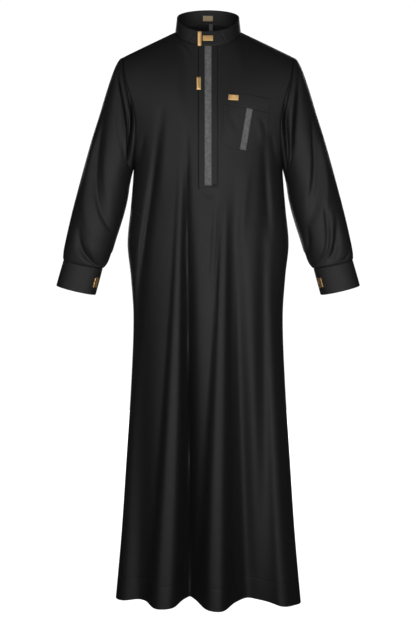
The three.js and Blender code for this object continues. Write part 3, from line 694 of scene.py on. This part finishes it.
def tan_label():
    """Dull gold and tan woven label cloth."""
    finish = Finish("tan_label")
    place, across, along = finish.cloth_place()
    weft = (along * (2 * math.pi / 0.0008)).sine()
    warp = (across * (2 * math.pi / 0.0006)).sine()
    mottle = finish.noise(place, 300, 3, 0.6)
    shade = (mottle + weft * 0.18).at_least(0).at_most(1)
    finish.set(
        Base_Color=finish.mix(shade, (0.27, 0.2, 0.1, 1), (0.62, 0.5, 0.3, 1)),
        Roughness=0.6,
        Normal=finish.bump(weft * 0.5 + warp * 0.5 + mottle, 0.0001, 0.5),
    )
    return finish.material


def black_thread():
    """Twisted black sewing thread."""
    finish = Finish("black_thread")
    _, across, along = finish.cloth_place()
    twist = ((across * 1.4 + along) * (2 * math.pi / 0.0005)).sine()
    finish.set(
        Base_Color=finish.mix(twist * 0.5 + 0.5, grey(0.012), grey(0.022)),
        Roughness=0.42,
        Normal=finish.bump(twist, 0.00004, 0.5),
    )
    return finish.material


def pale_floor():
    finish = Finish("pale_floor")
    place = finish.node("ShaderNodeTexCoord", {}, {}, output=3)
    finish.set(
        Base_Color=finish.mix(finish.noise(place, 3, 2), grey(0.9), grey(0.94)),
        Roughness=0.7,
        Emission_Color=grey(1),
        Emission_Strength=0.8,
    )
    return finish.material


FINISHES = {
    "black_cloth": black_cloth(),
    "grey_tape": grey_tape(),
    "gold_metal": gold_metal(),
    "tan_label": tan_label(),
}
THREAD_FINISH = black_thread()


def dressed(piece, slot, *nodes, finish=None):
    """Gives a piece its finish, rides it on the garment's body and lets it stand for CAD nodes."""
    piece.data.materials.append(finish or FINISHES[slot])
    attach(piece, "root")
    if nodes:
        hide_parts(*nodes)
    return piece


# The body's cloth

def fine_rows(length):
    """Heights above the hem as shares of a panel's length, close together at the hem and its stitching."""
    above = np.linspace(HEM_ROWS[-1] + 6, length - 6, ROWS["skirt"])
    return np.concatenate([np.array(HEM_ROWS), above]) / length


def panel_grid(panel, extra):
    """A panel's fine grid, with closer columns beside its side seams and where extra ones are named."""
    last = len(panel["columns"]) - 1
    finer = PANEL_STEPS["front" if panel is FRONT else "back"]
    even = np.linspace(-last, last, 2 * last * finer + 1)
    edge = last - np.array([0.04, 0.1, 0.18])
    across = np.unique(np.round(np.concatenate([even, edge, -edge, extra, -np.array(extra)]), 5))
    levels = (1 - np.cos(np.linspace(0, math.pi, ROWS["chest"]))) / 2
    return panel_points(panel, across, fine_rows(SKIRT_LENGTH), levels)


def body_panel(name, node, panel, extra=()):
    """A panel's cloth, turned in beside its seams and drawn in along the hem's stitching."""
    grid = panel_grid(panel, list(extra))
    flip = panel["side"] > 0
    along = running_length(grid, 1)
    to_side = np.minimum(along, along[:, -1:] - along)
    up = running_length(grid, 0)
    to_top = up[-1:] - up
    shoulder = np.abs(grid[-1:, :, 0]) >= NECK["half_width"] - SEAM
    move = seam_roll(to_side)
    move += np.where(shoulder, seam_roll(to_top), 0)
    move += seam_roll(up - HEM_STITCHING, 0.35, 1.8)
    if panel is FRONT:
        move += placket_groove(grid)
    outer = moved(grid, grid_normals(grid, flip=flip), move)
    inner = moved(outer, grid_normals(outer, flip=flip), -CLOTH)
    side = panel["side"]
    inner[..., 1] = side * np.maximum(side * inner[..., 1], SEAM / 2)
    outer[..., 1] = side * np.maximum(side * outer[..., 1], SEAM / 2)
    if panel is FRONT:
        sewn = np.zeros(grid.shape[:2], bool)
        sewn[:, [0, -1]] = True
        sewn[-1] |= shoulder[0]
        inner[sewn, 1] += UNDERLAP
    return dressed(shell(name, outer, inner, flip=flip), "black_cloth", node)


def placket_groove(grid):
    """The front drawn in beside the placket and below its boxed end."""
    x, z = np.abs(grid[..., 0]), grid[..., 2]
    edge, foot = PLACKET["half_width"], PLACKET["bottom"]
    depth = np.where(grid[..., 0] < 0, GROOVE["closing_side"], GROOVE["other_side"])
    beside = seam_roll(x - edge - 2 * SEAM, depth, GROOVE["width"]) * smoothstep(z, foot - 5, foot + 3)
    below = seam_roll(z - foot + GROOVE["below"], GROOVE["foot_depth"], GROOVE["foot_width"])
    return beside + below * (1 - smoothstep(x, edge - 1.6, edge + 2.4))


# Sleeves and cuffs

def ring_points(section, turns, forward):
    """Rings of a sleeve or a cuff: turns run from the outer edge round the front, in degrees."""
    angle = np.radians(turns)
    across = np.cos(angle)
    from_outer = np.degrees(np.arccos(np.clip(across, -1, 1)))
    bow = ARMHOLE["bow"] * section["bow"] * np.sin(angle) ** 2 * smoothstep(from_outer, 25, 105)
    middle_x = (section["outer_x"] + section["inner_x"]) / 2
    middle_z = (section["outer_z"] + section["inner_z"]) / 2
    x = middle_x + (section["outer_x"] - section["inner_x"]) / 2 * across - bow
    y = -section["half_depth"] * np.sin(angle) - forward
    z = middle_z + (section["outer_z"] - section["inner_z"]) / 2 * across
    return np.stack(np.broadcast_arrays(x, y, z), axis=-1)


def sections(rows, shares):
    return {column: along_steps(rows, column, shares)[:, None] for column in rows}


def sleeve_place(share, turn):
    """A place on a sleeve laid flat: millimetres round it from the middle of its front, and along it."""
    return (turn - 90) / 360 * lerp(SLEEVE_GIRTH["top"], SLEEVE_GIRTH["end"], share), share * SLEEVE_RUN


def sleeve_fold_depth(folds, share, turn):
    """How far the folds move a sleeve's cloth out, fading to nothing at its two seams."""
    around, along = sleeve_place(share, turn)
    total = np.zeros(np.broadcast(around, along).shape)
    for row in rows_of(folds):
        start = sleeve_place(row["start"], row["start_turn"])
        end = sleeve_place(row["end"], row["end_turn"])
        run = (end[0] - start[0], end[1] - start[1])
        total += crease(around - start[0], along - start[1], run, row)
    return total * smoothstep(share, 0, 0.05) * (1 - smoothstep(share, 0.95, 1))


def vent_depth(share, turn):
    """The slit above the cuff at the inner edge: a gap behind the edge of the front layer."""
    edge = lerp(VENT["top_turn"], VENT["foot_turn"], (share - VENT["start"]) / (1 - VENT["start"]))
    gap = smoothstep(turn, edge, edge + 5) * (1 - smoothstep(turn, edge + 15, edge + 27))
    lip = np.exp(-(((turn - edge + 3) / 4) ** 2))
    within = smoothstep(share, 0.81, 0.87) * (1 - smoothstep(share, 0.985, 1))
    return (VENT["lip"] * lip - VENT["gap"] * gap) * within


def mirrored(points, side):
    return points * np.array([1 if side == "left" else -1, 1, 1])


def sleeve(side):
    """A set-in sleeve, as a tube from the armhole to the cuff."""
    close = SLEEVE_END_ROWS / SLEEVE_RUN
    shares = np.concatenate([close, np.linspace(0.017, 0.985, ROWS["sleeve"]), 1 - close[::-1]])[:, None]
    turns = np.arange(0, 360, SLEEVE_TURN)[None, :]
    section = sections(SLEEVE_SECTIONS, shares[:, 0])
    plain = ring_points(section, turns, SLEEVE_FORWARD * shares**2)
    plain[..., 0] += np.where(shares == 0, SEAM / 2, 0)
    depth = sleeve_fold_depth(SLEEVE_FOLDS, shares, turns) + vent_depth(shares, turns)
    depth += sleeve_fold_depth(SLEEVE_CREASES[side], shares, turns)
    run = running_length(plain, 0)
    depth += seam_roll(run) + seam_roll(run[-1:] - run, 0.9)
    outer = moved(plain, grid_normals(plain, closed=True), depth)
    outer[..., 0] = np.maximum(outer[..., 0], plain[:1, :, 0])
    inner = moved(outer, grid_normals(outer, closed=True), -CLOTH)
    inner[:1, :, 0] = outer[:1, :, 0]
    outer, inner = mirrored(outer, side), mirrored(inner, side)
    piece = shell(f"sleeve_cloth_{side}", outer, inner, closed=True, flip=side == "right")
    return dressed(piece, "black_cloth", f"sleeve_{side}")


def cuff_points(shares, turns):
    """The cuff's strip on the +X side, whose front end lies over its back end."""
    section = sections(CUFF_SECTIONS, shares)
    back = CUFF["back_end"] - 360
    tucked = CUFF["step"] * (1 - smoothstep(turns, back, back + 50))[None, :]
    section["half_depth"] = section["half_depth"] - tucked
    section["inner_x"] = section["inner_x"] + tucked
    return ring_points(section, turns[None, :], SLEEVE_FORWARD)


def edge_rounding(distance, thickness):
    """How far a free edge is rounded in, on each side of the cloth."""
    return 0.38 * thickness * np.exp(-((distance / (0.45 * thickness)) ** 2))


def free_edges(grid):
    """Distance to the nearest end of the rows or the columns."""
    up, along = running_length(grid, 0), running_length(grid, 1)
    return np.minimum(np.minimum(up, up[-1:] - up), np.minimum(along, along[:, -1:] - along))


def stiff_strip(name, grid, side="left", foot=0.0):
    """A stiffened strip with rounded edges, such as a cuff or a collar, whose inner foot may hang lower."""
    normals = grid_normals(grid)
    rounding = edge_rounding(free_edges(grid), STIFF_CLOTH)
    outer = moved(grid, normals, -rounding)
    inner = moved(grid, normals, rounding - STIFF_CLOTH)
    inner[0, :, 2] -= foot
    return shell(name, mirrored(outer, side), mirrored(inner, side), flip=side == "right")


def close_ends(low, high, count, steps=EDGE_STEPS):
    """Even steps between two ends, with closer ones beside each end."""
    even = np.linspace(low, high, count)
    ends = np.array(steps)
    return np.unique(np.concatenate([even[1:-1], low + ends, high - ends]))


def cuff(side):
    """An open cuff, whose front end lies over its back end."""
    shares = close_ends(0, CUFF["height"], ROWS["cuff"]) / CUFF["height"]
    turn_per_mm = 360 / SLEEVE_GIRTH["end"]
    low, high = CUFF["back_end"] - 360, CUFF["front_end"]
    turns = close_ends(low, high, COLUMNS["cuff"], EDGE_STEPS * turn_per_mm)
    grid = cuff_points(shares, turns)
    return dressed(stiff_strip(f"cuff_cloth_{side}", grid, side), "black_cloth", f"cuff_{side}")


# Collar

def collar_points(shares, degrees):
    """The collar's strip, from its foot up, with turns from the middle of the front."""
    turn = np.radians(degrees)[None, :]
    shares = shares[:, None]
    tucked = (STIFF_CLOTH + 2 * SEAM) * smoothstep(degrees, 300, 340)[None, :]
    ahead = np.cos(turn) > 0
    reach = lerp(np.where(ahead, NECK["front"], NECK["back"]),
                 np.where(ahead, COLLAR["front"], COLLAR["back"]), shares) - tucked
    half_width = lerp(NECK["half_width"], COLLAR["half_width"], shares) - tucked
    seam_y = -np.where(ahead, NECK["front"], NECK["back"]) * np.cos(turn)
    foot = neck_height(seam_y) + COLLAR_LIFT
    middle_top = np.where(ahead, COLLAR["front_top"], COLLAR["back_top"])
    top = lerp(COLLAR["side_top"], middle_top, np.abs(np.cos(turn)))
    points = [half_width * np.sin(turn), -reach * np.cos(turn), lerp(foot, top, shares)]
    return np.stack(np.broadcast_arrays(*points), axis=-1)


def collar():
    """The stand collar, drawn in along its two slanted seams."""
    over = math.degrees(math.asin(COLLAR_ENDS["over"] / NECK["half_width"]))
    under = math.degrees(math.asin(COLLAR_ENDS["under"] / NECK["half_width"]))
    turn_per_mm = 0.8
    degrees = close_ends(-over, 360 + under, COLUMNS["collar"], EDGE_STEPS * turn_per_mm)
    grid = collar_points(close_ends(0, COLLAR["height"], ROWS["collar"]) / COLLAR["height"], degrees)
    seams = np.zeros(grid.shape[:2])
    for start, end in COLLAR_SEAMS:
        run = np.subtract(end, start)
        across, up = grid[..., 0] - start[0], grid[..., 2] - start[1]
        along = (across * run[0] + up * run[1]) / (run @ run)
        aside = (across * run[1] - up * run[0]) / np.hypot(*run)
        ahead = (grid[..., 1] < 0) & (along > -0.4) & (along < 1.4)
        seams += np.where(ahead, seam_roll(aside, 0.8, 1.5), 0)
    grid = moved(grid, grid_normals(grid), seams)
    return dressed(stiff_strip("collar_cloth", grid, foot=COLLAR_FOOT), "black_cloth", "collar")


# What lies on the front

def on_front(x, z):
    """Points of the front's cloth at places seen from the front."""
    return np.stack([x, -depth_at(FRONT, x, z), z], axis=-1)


def laid(name, slot, places, near, thickness, node, dish=0.0, crown=0.0, side="left", surface=on_front):
    """A flat piece laid on a surface, over a grid of places that run up and from -X to +X."""
    grid = surface(*places)
    normals = grid_normals(grid)
    edges = free_edges(grid)
    rim = dish * smoothstep(edges, *DISH_RIM) - crown * smoothstep(edges, 0, CROWN_RUN)
    outer = moved(grid, normals, near + thickness - edge_rounding(edges, thickness) - rim)
    inner = moved(grid, normals, np.full(grid.shape[:2], float(near)))
    piece = shell(name, mirrored(outer, side), mirrored(inner, side), flip=side == "right")
    return dressed(piece, slot, node)


def strip_places(sizes, columns):
    """Places over an upright strip, from its foot up to the neck seam."""
    across = close_ends(-sizes["half_width"], sizes["half_width"], columns)
    up = close_ends(0, 1, ROWS["strip"], (0, 0.0012, 0.003, 0.006))[:, None]
    x = np.broadcast_to(across[None, :], (len(up), len(across)))
    neck_seam = top_edge(FRONT, np.abs(x))[1] - 2 * SEAM
    return x, lerp(sizes["bottom"], neck_seam, up)


def between(lower, upper, columns=44, rows=40):
    """Places between a lower and an upper outline, each a list of corners from -X to +X."""
    (lx, lz), (ux, uz) = np.array(lower, float).T, np.array(upper, float).T
    ends = (0, 0.004, 0.009, 0.016)
    share = close_ends(0, 1, columns, ends)
    low_x, high_x = lerp(lx[0], lx[-1], share), lerp(ux[0], ux[-1], share)
    up = close_ends(0, 1, rows, ends)[:, None]
    return (lerp(low_x[None, :], high_x[None, :], up),
            lerp(np.interp(low_x, lx, lz)[None, :], np.interp(high_x, ux, uz)[None, :], up))


def placket():
    """The front band and the grey tape along its middle."""
    laid("placket_cloth", "black_cloth", strip_places(PLACKET, COLUMNS["placket"]),
         FIRST_LAYER, BAND, "placket")
    laid("placket_tape_cloth", "grey_tape", strip_places(TAPE, COLUMNS["tape"]),
         SECOND_LAYER, TAPE_CLOTH, "placket_tape")


def chest_pocket():
    """The patch pocket, its turned-down mouth and the slanted grey tape."""
    laid("chest_pocket_cloth", "black_cloth", between(POCKET["foot"], POCKET["line"]),
         FIRST_LAYER, BAND, "chest_pocket")
    laid("chest_pocket_hem_cloth", "black_cloth", between(POCKET["hem"], POCKET["mouth"], rows=18),
         FIRST_LAYER, BAND, "chest_pocket_hem")
    tape = between(POCKET["tape_foot"], POCKET["tape_head"], COLUMNS["tape"], 50)
    laid("chest_pocket_tape_cloth", "grey_tape", tape, SECOND_LAYER, TAPE_CLOTH, "chest_pocket_tape")


def welt(side):
    """The stitched edge of a slanted side pocket, up to the side seam."""
    inner = WELT["inner_x"]
    across = close_ends(inner, inner + WELT["run"], COLUMNS["welt"])
    low = WELT["inner_z"] + WELT["rise"] * (across - inner) - WELT["width"] / 2
    if side == "right":
        across, low = -across[::-1], low[::-1]
    up = close_ends(0, WELT["width"], 10)[:, None]
    x = np.broadcast_to(across[None, :], (len(up), len(across)))
    laid(f"side_pocket_welt_cloth_{side}", "black_cloth", (x, low[None, :] + up), FIRST_LAYER, BAND,
         f"side_pocket_welt_{side}")


# Metal trims, label and loop

def plate_places(x, z, width, height, lean=0.0):
    """Places over a small upright rectangle, leaning by some degrees."""
    ends = (0, 0.2, 0.45, 0.8)
    a, b = np.meshgrid(close_ends(-width / 2, width / 2, 14, ends),
                       close_ends(-height / 2, height / 2, 18, ends))
    turn = math.radians(lean)
    return x + a * math.cos(turn) - b * math.sin(turn), z + a * math.sin(turn) + b * math.cos(turn)


def on_collar(x, z):
    """Points of the collar's front at places seen from the front, found by repeated guesses."""
    turn = np.arcsin(np.clip(x / (NECK["half_width"] - 2.5), -1, 1))
    for _ in range(6):
        foot = neck_height(-NECK["front"] * np.cos(turn)) + COLLAR_LIFT
        top = lerp(COLLAR["side_top"], COLLAR["front_top"], np.cos(turn))
        share = np.clip((z - foot) / (top - foot), -0.2, 1.2)
        turn = np.arcsin(np.clip(x / lerp(NECK["half_width"], COLLAR["half_width"], share), -1, 1))
    return np.stack([x, -lerp(NECK["front"], COLLAR["front"], share) * np.cos(turn), z], axis=-1)


def on_collar_lining(x, z):
    """Points of the collar's inside at the back of the neck, at places seen from the front."""
    turn = np.arcsin(np.clip(x / NECK["half_width"], -1, 1))
    foot = neck_height(NECK["back"] * np.cos(turn)) + COLLAR_LIFT
    top = lerp(COLLAR["side_top"], COLLAR["back_top"], np.cos(turn))
    share = (z - foot) / (top - foot)
    y = lerp(NECK["back"], COLLAR["back"], share) * np.cos(turn) - STIFF_CLOTH
    return np.stack([x, y, z], axis=-1)


def on_cuff(across, down):
    """Points of a flat plate on the front of the +X cuff, near its inner edge."""
    along, turn = CUFF_PLATE["along"], CUFF_PLATE["turn"]
    spot = cuff_points(np.array([along - 0.1, along + 0.1]), np.array([turn - 3.0, turn + 3.0]))
    to_end = spot[1].mean(axis=0) - spot[0].mean(axis=0)
    to_end /= np.linalg.norm(to_end)
    inward = spot[:, 1].mean(axis=0) - spot[:, 0].mean(axis=0)
    inward -= to_end * (inward @ to_end)
    inward /= np.linalg.norm(inward)
    return spot.mean(axis=(0, 1)) + across[..., None] * inward + down[..., None] * to_end


def inside_back(x, z):
    """A hanging strip behind the neck opening, a little curled at its lower end."""
    y = NECK_LOOP["depth"] - NECK_LOOP["curl"] * smoothstep(-z, 0, NECK_LOOP["curl_run"])
    return np.stack([x, np.broadcast_to(y, x.shape), z], axis=-1)


def metal_trims():
    """The gold bars and plates on the collar, the placket and the pocket."""
    for name, near, shape in (
        ("collar_bar", SEAM, {"crown": CROWN, "surface": on_collar}),
        ("collar_plate", SEAM, {"dish": DISH, "surface": on_collar}),
        ("placket_bar", SECOND_LAYER, {"crown": CROWN}),
        ("pocket_plate", SECOND_LAYER, {"dish": DISH}),
    ):
        laid(f"{name}_metal", "gold_metal", plate_places(**TRIMS[name]), near, METAL, name, **shape)


def neck_trims():
    """The plain label and the hanging loop inside the back of the neck."""
    laid("neck_label_cloth", "tan_label", plate_places(**TRIMS["neck_label"]), SEAM, BAND, "neck_label",
         surface=on_collar_lining)
    laid("neck_loop_cloth", "grey_tape", plate_places(**TRIMS["neck_loop"]), 0, NECK_LOOP["thickness"],
         "neck_loop", surface=inside_back)


def cuff_plate(side):
    laid(f"cuff_plate_metal_{side}", "gold_metal", plate_places(**TRIMS["cuff_plate"]), 2 * SEAM, METAL,
         f"cuff_plate_{side}", side=side, surface=on_cuff)


# Stitching

def thread_faces(count, each):
    """Faces of many short six-sided threads, each from rings of points with closed ends."""
    ring = np.arange(STITCH_SIDES)
    following = (ring + 1) % STITCH_SIDES
    walls = np.concatenate([
        np.stack([ring + k, following + k, following + k + STITCH_SIDES, ring + k + STITCH_SIDES], axis=-1)
        for k in range(0, each - STITCH_SIDES, STITCH_SIDES)
    ])
    faces = (walls[None] + np.arange(count)[:, None, None] * each).reshape(-1, 4).tolist()
    for k in range(count):
        faces.append((ring[::-1] + k * each).tolist())
        faces.append((ring + (k + 1) * each - STITCH_SIDES).tolist())
    return faces


def stitches(name, path, normals, lift=0.0, pitch=STITCH["pitch"], side="left"):
    """A row of separate thread stitches that lie along a path on the cloth."""
    steps = np.linalg.norm(np.diff(path, axis=0), axis=1)
    run = np.concatenate([[0], np.cumsum(steps)])
    places = np.arange(pitch, run[-1] - pitch / 2, pitch)

    def path_at(distance, values):
        return np.stack([np.interp(distance, run, values[:, k]) for k in range(3)], axis=-1)

    at = path_at(places, path)
    ahead = path_at(places + 0.5, path) - at
    ahead /= np.maximum(np.linalg.norm(ahead, axis=1, keepdims=True), 1e-9)
    out = path_at(places, normals)
    out /= np.linalg.norm(out, axis=1, keepdims=True)
    beside = np.cross(out, ahead)
    length = min(STITCH["length"], pitch * STITCH["share"])
    vertices = []
    for reach, thick in STITCH_RINGS:
        radius = STITCH["width"] / 2 * thick
        for a in np.arange(STITCH_SIDES) * 2 * math.pi / STITCH_SIDES:
            vertices.append(at + ahead * reach * length / 2 + out * (lift + radius * math.sin(a))
                            + beside * radius * math.cos(a))
    vertices = mirrored(np.stack(vertices, axis=1), side)
    flat = vertices.reshape(-1, 3)
    mesh = bpy.data.meshes.new(name)
    mesh.from_pydata((flat * MM).tolist(), [], thread_faces(*vertices.shape[:2]))
    add_cloth_map(mesh, flat[:, [0, 2]] * MM)
    return dressed(finished(mesh, name), "black_cloth", finish=THREAD_FINISH)


def dense(corners, step=1.5):
    """Points close together along straight lines between corners."""
    corners = np.array(corners, float)
    parts = [np.linspace(a, b, max(2, int(np.hypot(*(b - a)) / step) + 1))[:-1]
             for a, b in zip(corners, corners[1:])]
    return np.concatenate([*parts, corners[-1:]])


def sewn_on_front(name, corners, lift, pitch=STITCH["pitch"]):
    """Stitches on the front along lines seen from the front."""
    x, z = dense(corners).T
    step = 0.4
    slope_x = (depth_at(FRONT, x + step, z) - depth_at(FRONT, x - step, z)) / (2 * step)
    slope_z = (depth_at(FRONT, x, z + step) - depth_at(FRONT, x, z - step)) / (2 * step)
    normals = np.stack([-slope_x, -np.ones_like(x), -slope_z], axis=-1)
    normals /= np.linalg.norm(normals, axis=1, keepdims=True)
    return stitches(name, on_front(x, z), normals, lift, pitch)


def sewn_round(name, grid, lift, side="left"):
    """Stitches along the middle row of a grid of three rows."""
    normals = grid_normals(grid)
    return stitches(name, grid[1], normals[1], lift, side=side)


def inset(corners, centre):
    """The corners of an outline, moved in towards its centre by a little more than the stitches' inset."""
    corners = np.array(corners, float)
    away = corners - np.array(centre, float)
    return corners - away / np.linalg.norm(away, axis=1, keepdims=True) * STITCH_INSET * 1.3


def u_shape(edge, top, foot):
    """Down one side of a strip, across its foot and up its other side."""
    return [(-edge, top), (-edge, foot), (edge, foot), (edge, top)]


def placket_stitching():
    edge = PLACKET["half_width"] - STITCH_INSET
    foot = PLACKET["bottom"] + STITCH_INSET
    sewn_on_front("placket_stitching", u_shape(edge, SEWN_FROM["placket"], foot), ON_FIRST)
    box = [(-edge, foot + BOX_STITCHING["closing_side"]), (edge, foot + BOX_STITCHING["other_side"])]
    sewn_on_front("placket_box_stitching", box, ON_FIRST)
    tape_edge, tape_foot = TAPE["half_width"] - SEWN_IN_TAPE["side"], TAPE["bottom"] + SEWN_IN_TAPE["foot"]
    sewn_on_front("placket_tape_stitching", u_shape(tape_edge, SEWN_FROM["tape"], tape_foot), ON_TAPE)


def pocket_stitching():
    patch = [POCKET["line"][0], *POCKET["foot"], POCKET["line"][1]]
    sewn_on_front("pocket_stitching", inset(patch, POCKET_CENTRE), ON_FIRST)
    sewn_on_front("pocket_hem_stitching", inset(POCKET["mouth"], MOUTH_CENTRE), ON_FIRST)
    sewn_on_front("pocket_fold_stitching", POCKET_FOLD, ON_FIRST)
    head, foot = POCKET["tape_head"][0], POCKET["tape_foot"][0]
    for name, offset in (("inner", 1.1), ("outer", 12.9)):
        line = [(head[0] + offset, TAPE_STITCHING["head"] - TAPE_STITCHING["head_fall"] * offset),
                (foot[0] + offset, TAPE_STITCHING["foot"] - TAPE_STITCHING["foot_fall"] * offset)]
        sewn_on_front(f"pocket_tape_stitching_{name}", line, ON_TAPE)


def side_pocket_stitching(side):
    sign = 1 if side == "left" else -1
    start, run = WELT_STITCHING["start"], WELT_STITCHING["run"]
    for name, offset in (("upper", WELT_STITCHING["offset"]), ("lower", -WELT_STITCHING["offset"])):
        line = [(sign * (WELT["inner_x"] + start), WELT["inner_z"] + offset),
                (sign * (WELT["inner_x"] + run), WELT["inner_z"] + WELT["rise"] * run + offset)]
        sewn_on_front(f"side_pocket_stitching_{name}_{side}", line, ON_FIRST)


def hem_stitching(name, panel):
    across = np.linspace(-0.985, 0.985, 420) * (len(panel["columns"]) - 1)
    heights = (HEM_STITCHING + np.array([-1, 0, 1])) / SKIRT_LENGTH
    rows = panel_points(panel, across, heights, np.zeros(1))[:3]
    if panel is BACK:
        rows = rows[:, ::-1]
    sewn_round(name, rows, -0.25)


def collar_stitching():
    around = np.linspace(-14, 371, 520)
    for name, share in COLLAR_STITCHING.items():
        sewn_round(f"collar_{name}_stitching", collar_points(share + THREE_ROWS, around), 0.05)
    for number, ends in enumerate(COLLAR_SEAMS, 1):
        line = on_collar(*dense(ends).T)
        away = line * np.array([1, 1, 0])
        away /= np.linalg.norm(away, axis=1, keepdims=True)
        stitches(f"collar_seam_stitching_{number}", line, away, -0.55)


def cuff_stitching(side):
    around = np.linspace(CUFF["back_end"] - 352, CUFF["front_end"] - 3, 300)
    for name, share in CUFF_STITCHING.items():
        sewn_round(f"cuff_{name}_stitching_{side}", cuff_points(share + THREE_ROWS, around), 0.05, side)


# Studio

def studio():
    """A pale floor below the hem and a white surround."""
    bpy.ops.mesh.primitive_plane_add(size=4.4, location=(0, 0.4, FLOOR))
    floor = bpy.context.object
    floor.name = "floor"
    floor.data.materials.append(pale_floor())
    floor.visible_diffuse = floor.visible_glossy = False
    world = bpy.data.worlds.new("surround")
    bpy.context.scene.world = world
    world.use_nodes = True
    nodes, links = world.node_tree.nodes, world.node_tree.links
    seen, lit = nodes.new("ShaderNodeBackground"), nodes["Background"]
    for background, strength in ((seen, 1.05), (lit, 0.03)):
        background.inputs["Color"].default_value = grey(1)
        background.inputs["Strength"].default_value = strength
    path = nodes.new("ShaderNodeLightPath")
    either = nodes.new("ShaderNodeMixShader")
    links.new(path.outputs["Is Camera Ray"], either.inputs[0])
    links.new(lit.outputs[0], either.inputs[1])
    links.new(seen.outputs[0], either.inputs[2])
    links.new(either.outputs[0], nodes["World Output"].inputs["Surface"])
    bpy.context.scene.view_settings.view_transform = "Standard"


def softbox(name, place, aim, size, watts, spread):
    light = bpy.data.lights.new(name, "AREA")
    light.spread = math.radians(spread)
    light.shape = "RECTANGLE"
    light.size, light.size_y = size
    light.energy = watts
    lamp = bpy.data.objects.new(name, light)
    lamp.location = place
    lamp.rotation_euler = (Vector(aim) - Vector(place)).to_track_quat("-Z", "Y").to_euler()
    bpy.context.scene.collection.objects.link(lamp)


def camera():
    """The photograph's view: level with the waist, straight at the front, framed from collar to hem."""
    scale = PHOTO["scale"] * MM
    lens = bpy.data.cameras.new("camera")
    lens.sensor_width = 36
    lens.lens = lens.sensor_width * CAMERA["distance"] / (PHOTO["height"] * scale)
    eye_row = PHOTO["origin_row"] - CAMERA["eye"] / scale
    lens.shift_y = (eye_row - PHOTO["height"] / 2) / PHOTO["height"]
    lens.shift_x = (PHOTO["width"] / 2 - PHOTO["origin_column"]) / PHOTO["height"]
    seen = bpy.data.objects.new("camera", lens)
    seen.location = (0, -CAMERA["distance"], CAMERA["eye"])
    seen.rotation_euler = (math.pi / 2, 0, 0)
    bpy.context.scene.collection.objects.link(seen)
    bpy.context.scene.camera = seen


# The garment, then the studio round it

SIDES = ("left", "right")
body_panel("front_cloth", "front_panel", FRONT, extra=PLACKET_COLUMNS)
body_panel("back_cloth", "back_panel", BACK)
for side in SIDES:
    sleeve(side)
for side in SIDES:
    cuff(side)
collar()
placket()
chest_pocket()
metal_trims()
neck_trims()
for side in SIDES:
    cuff_plate(side)
for side in SIDES:
    welt(side)
placket_stitching()
pocket_stitching()
sewn_on_front("placket_bar_tack", BAR_TACK["line"], 0.1, BAR_TACK["pitch"])
for side in SIDES:
    side_pocket_stitching(side)
hem_stitching("front_hem_stitching", FRONT)
hem_stitching("back_hem_stitching", BACK)
collar_stitching()
for side in SIDES:
    cuff_stitching(side)

studio()
for row in LIGHTS:
    softbox(*row)
camera()
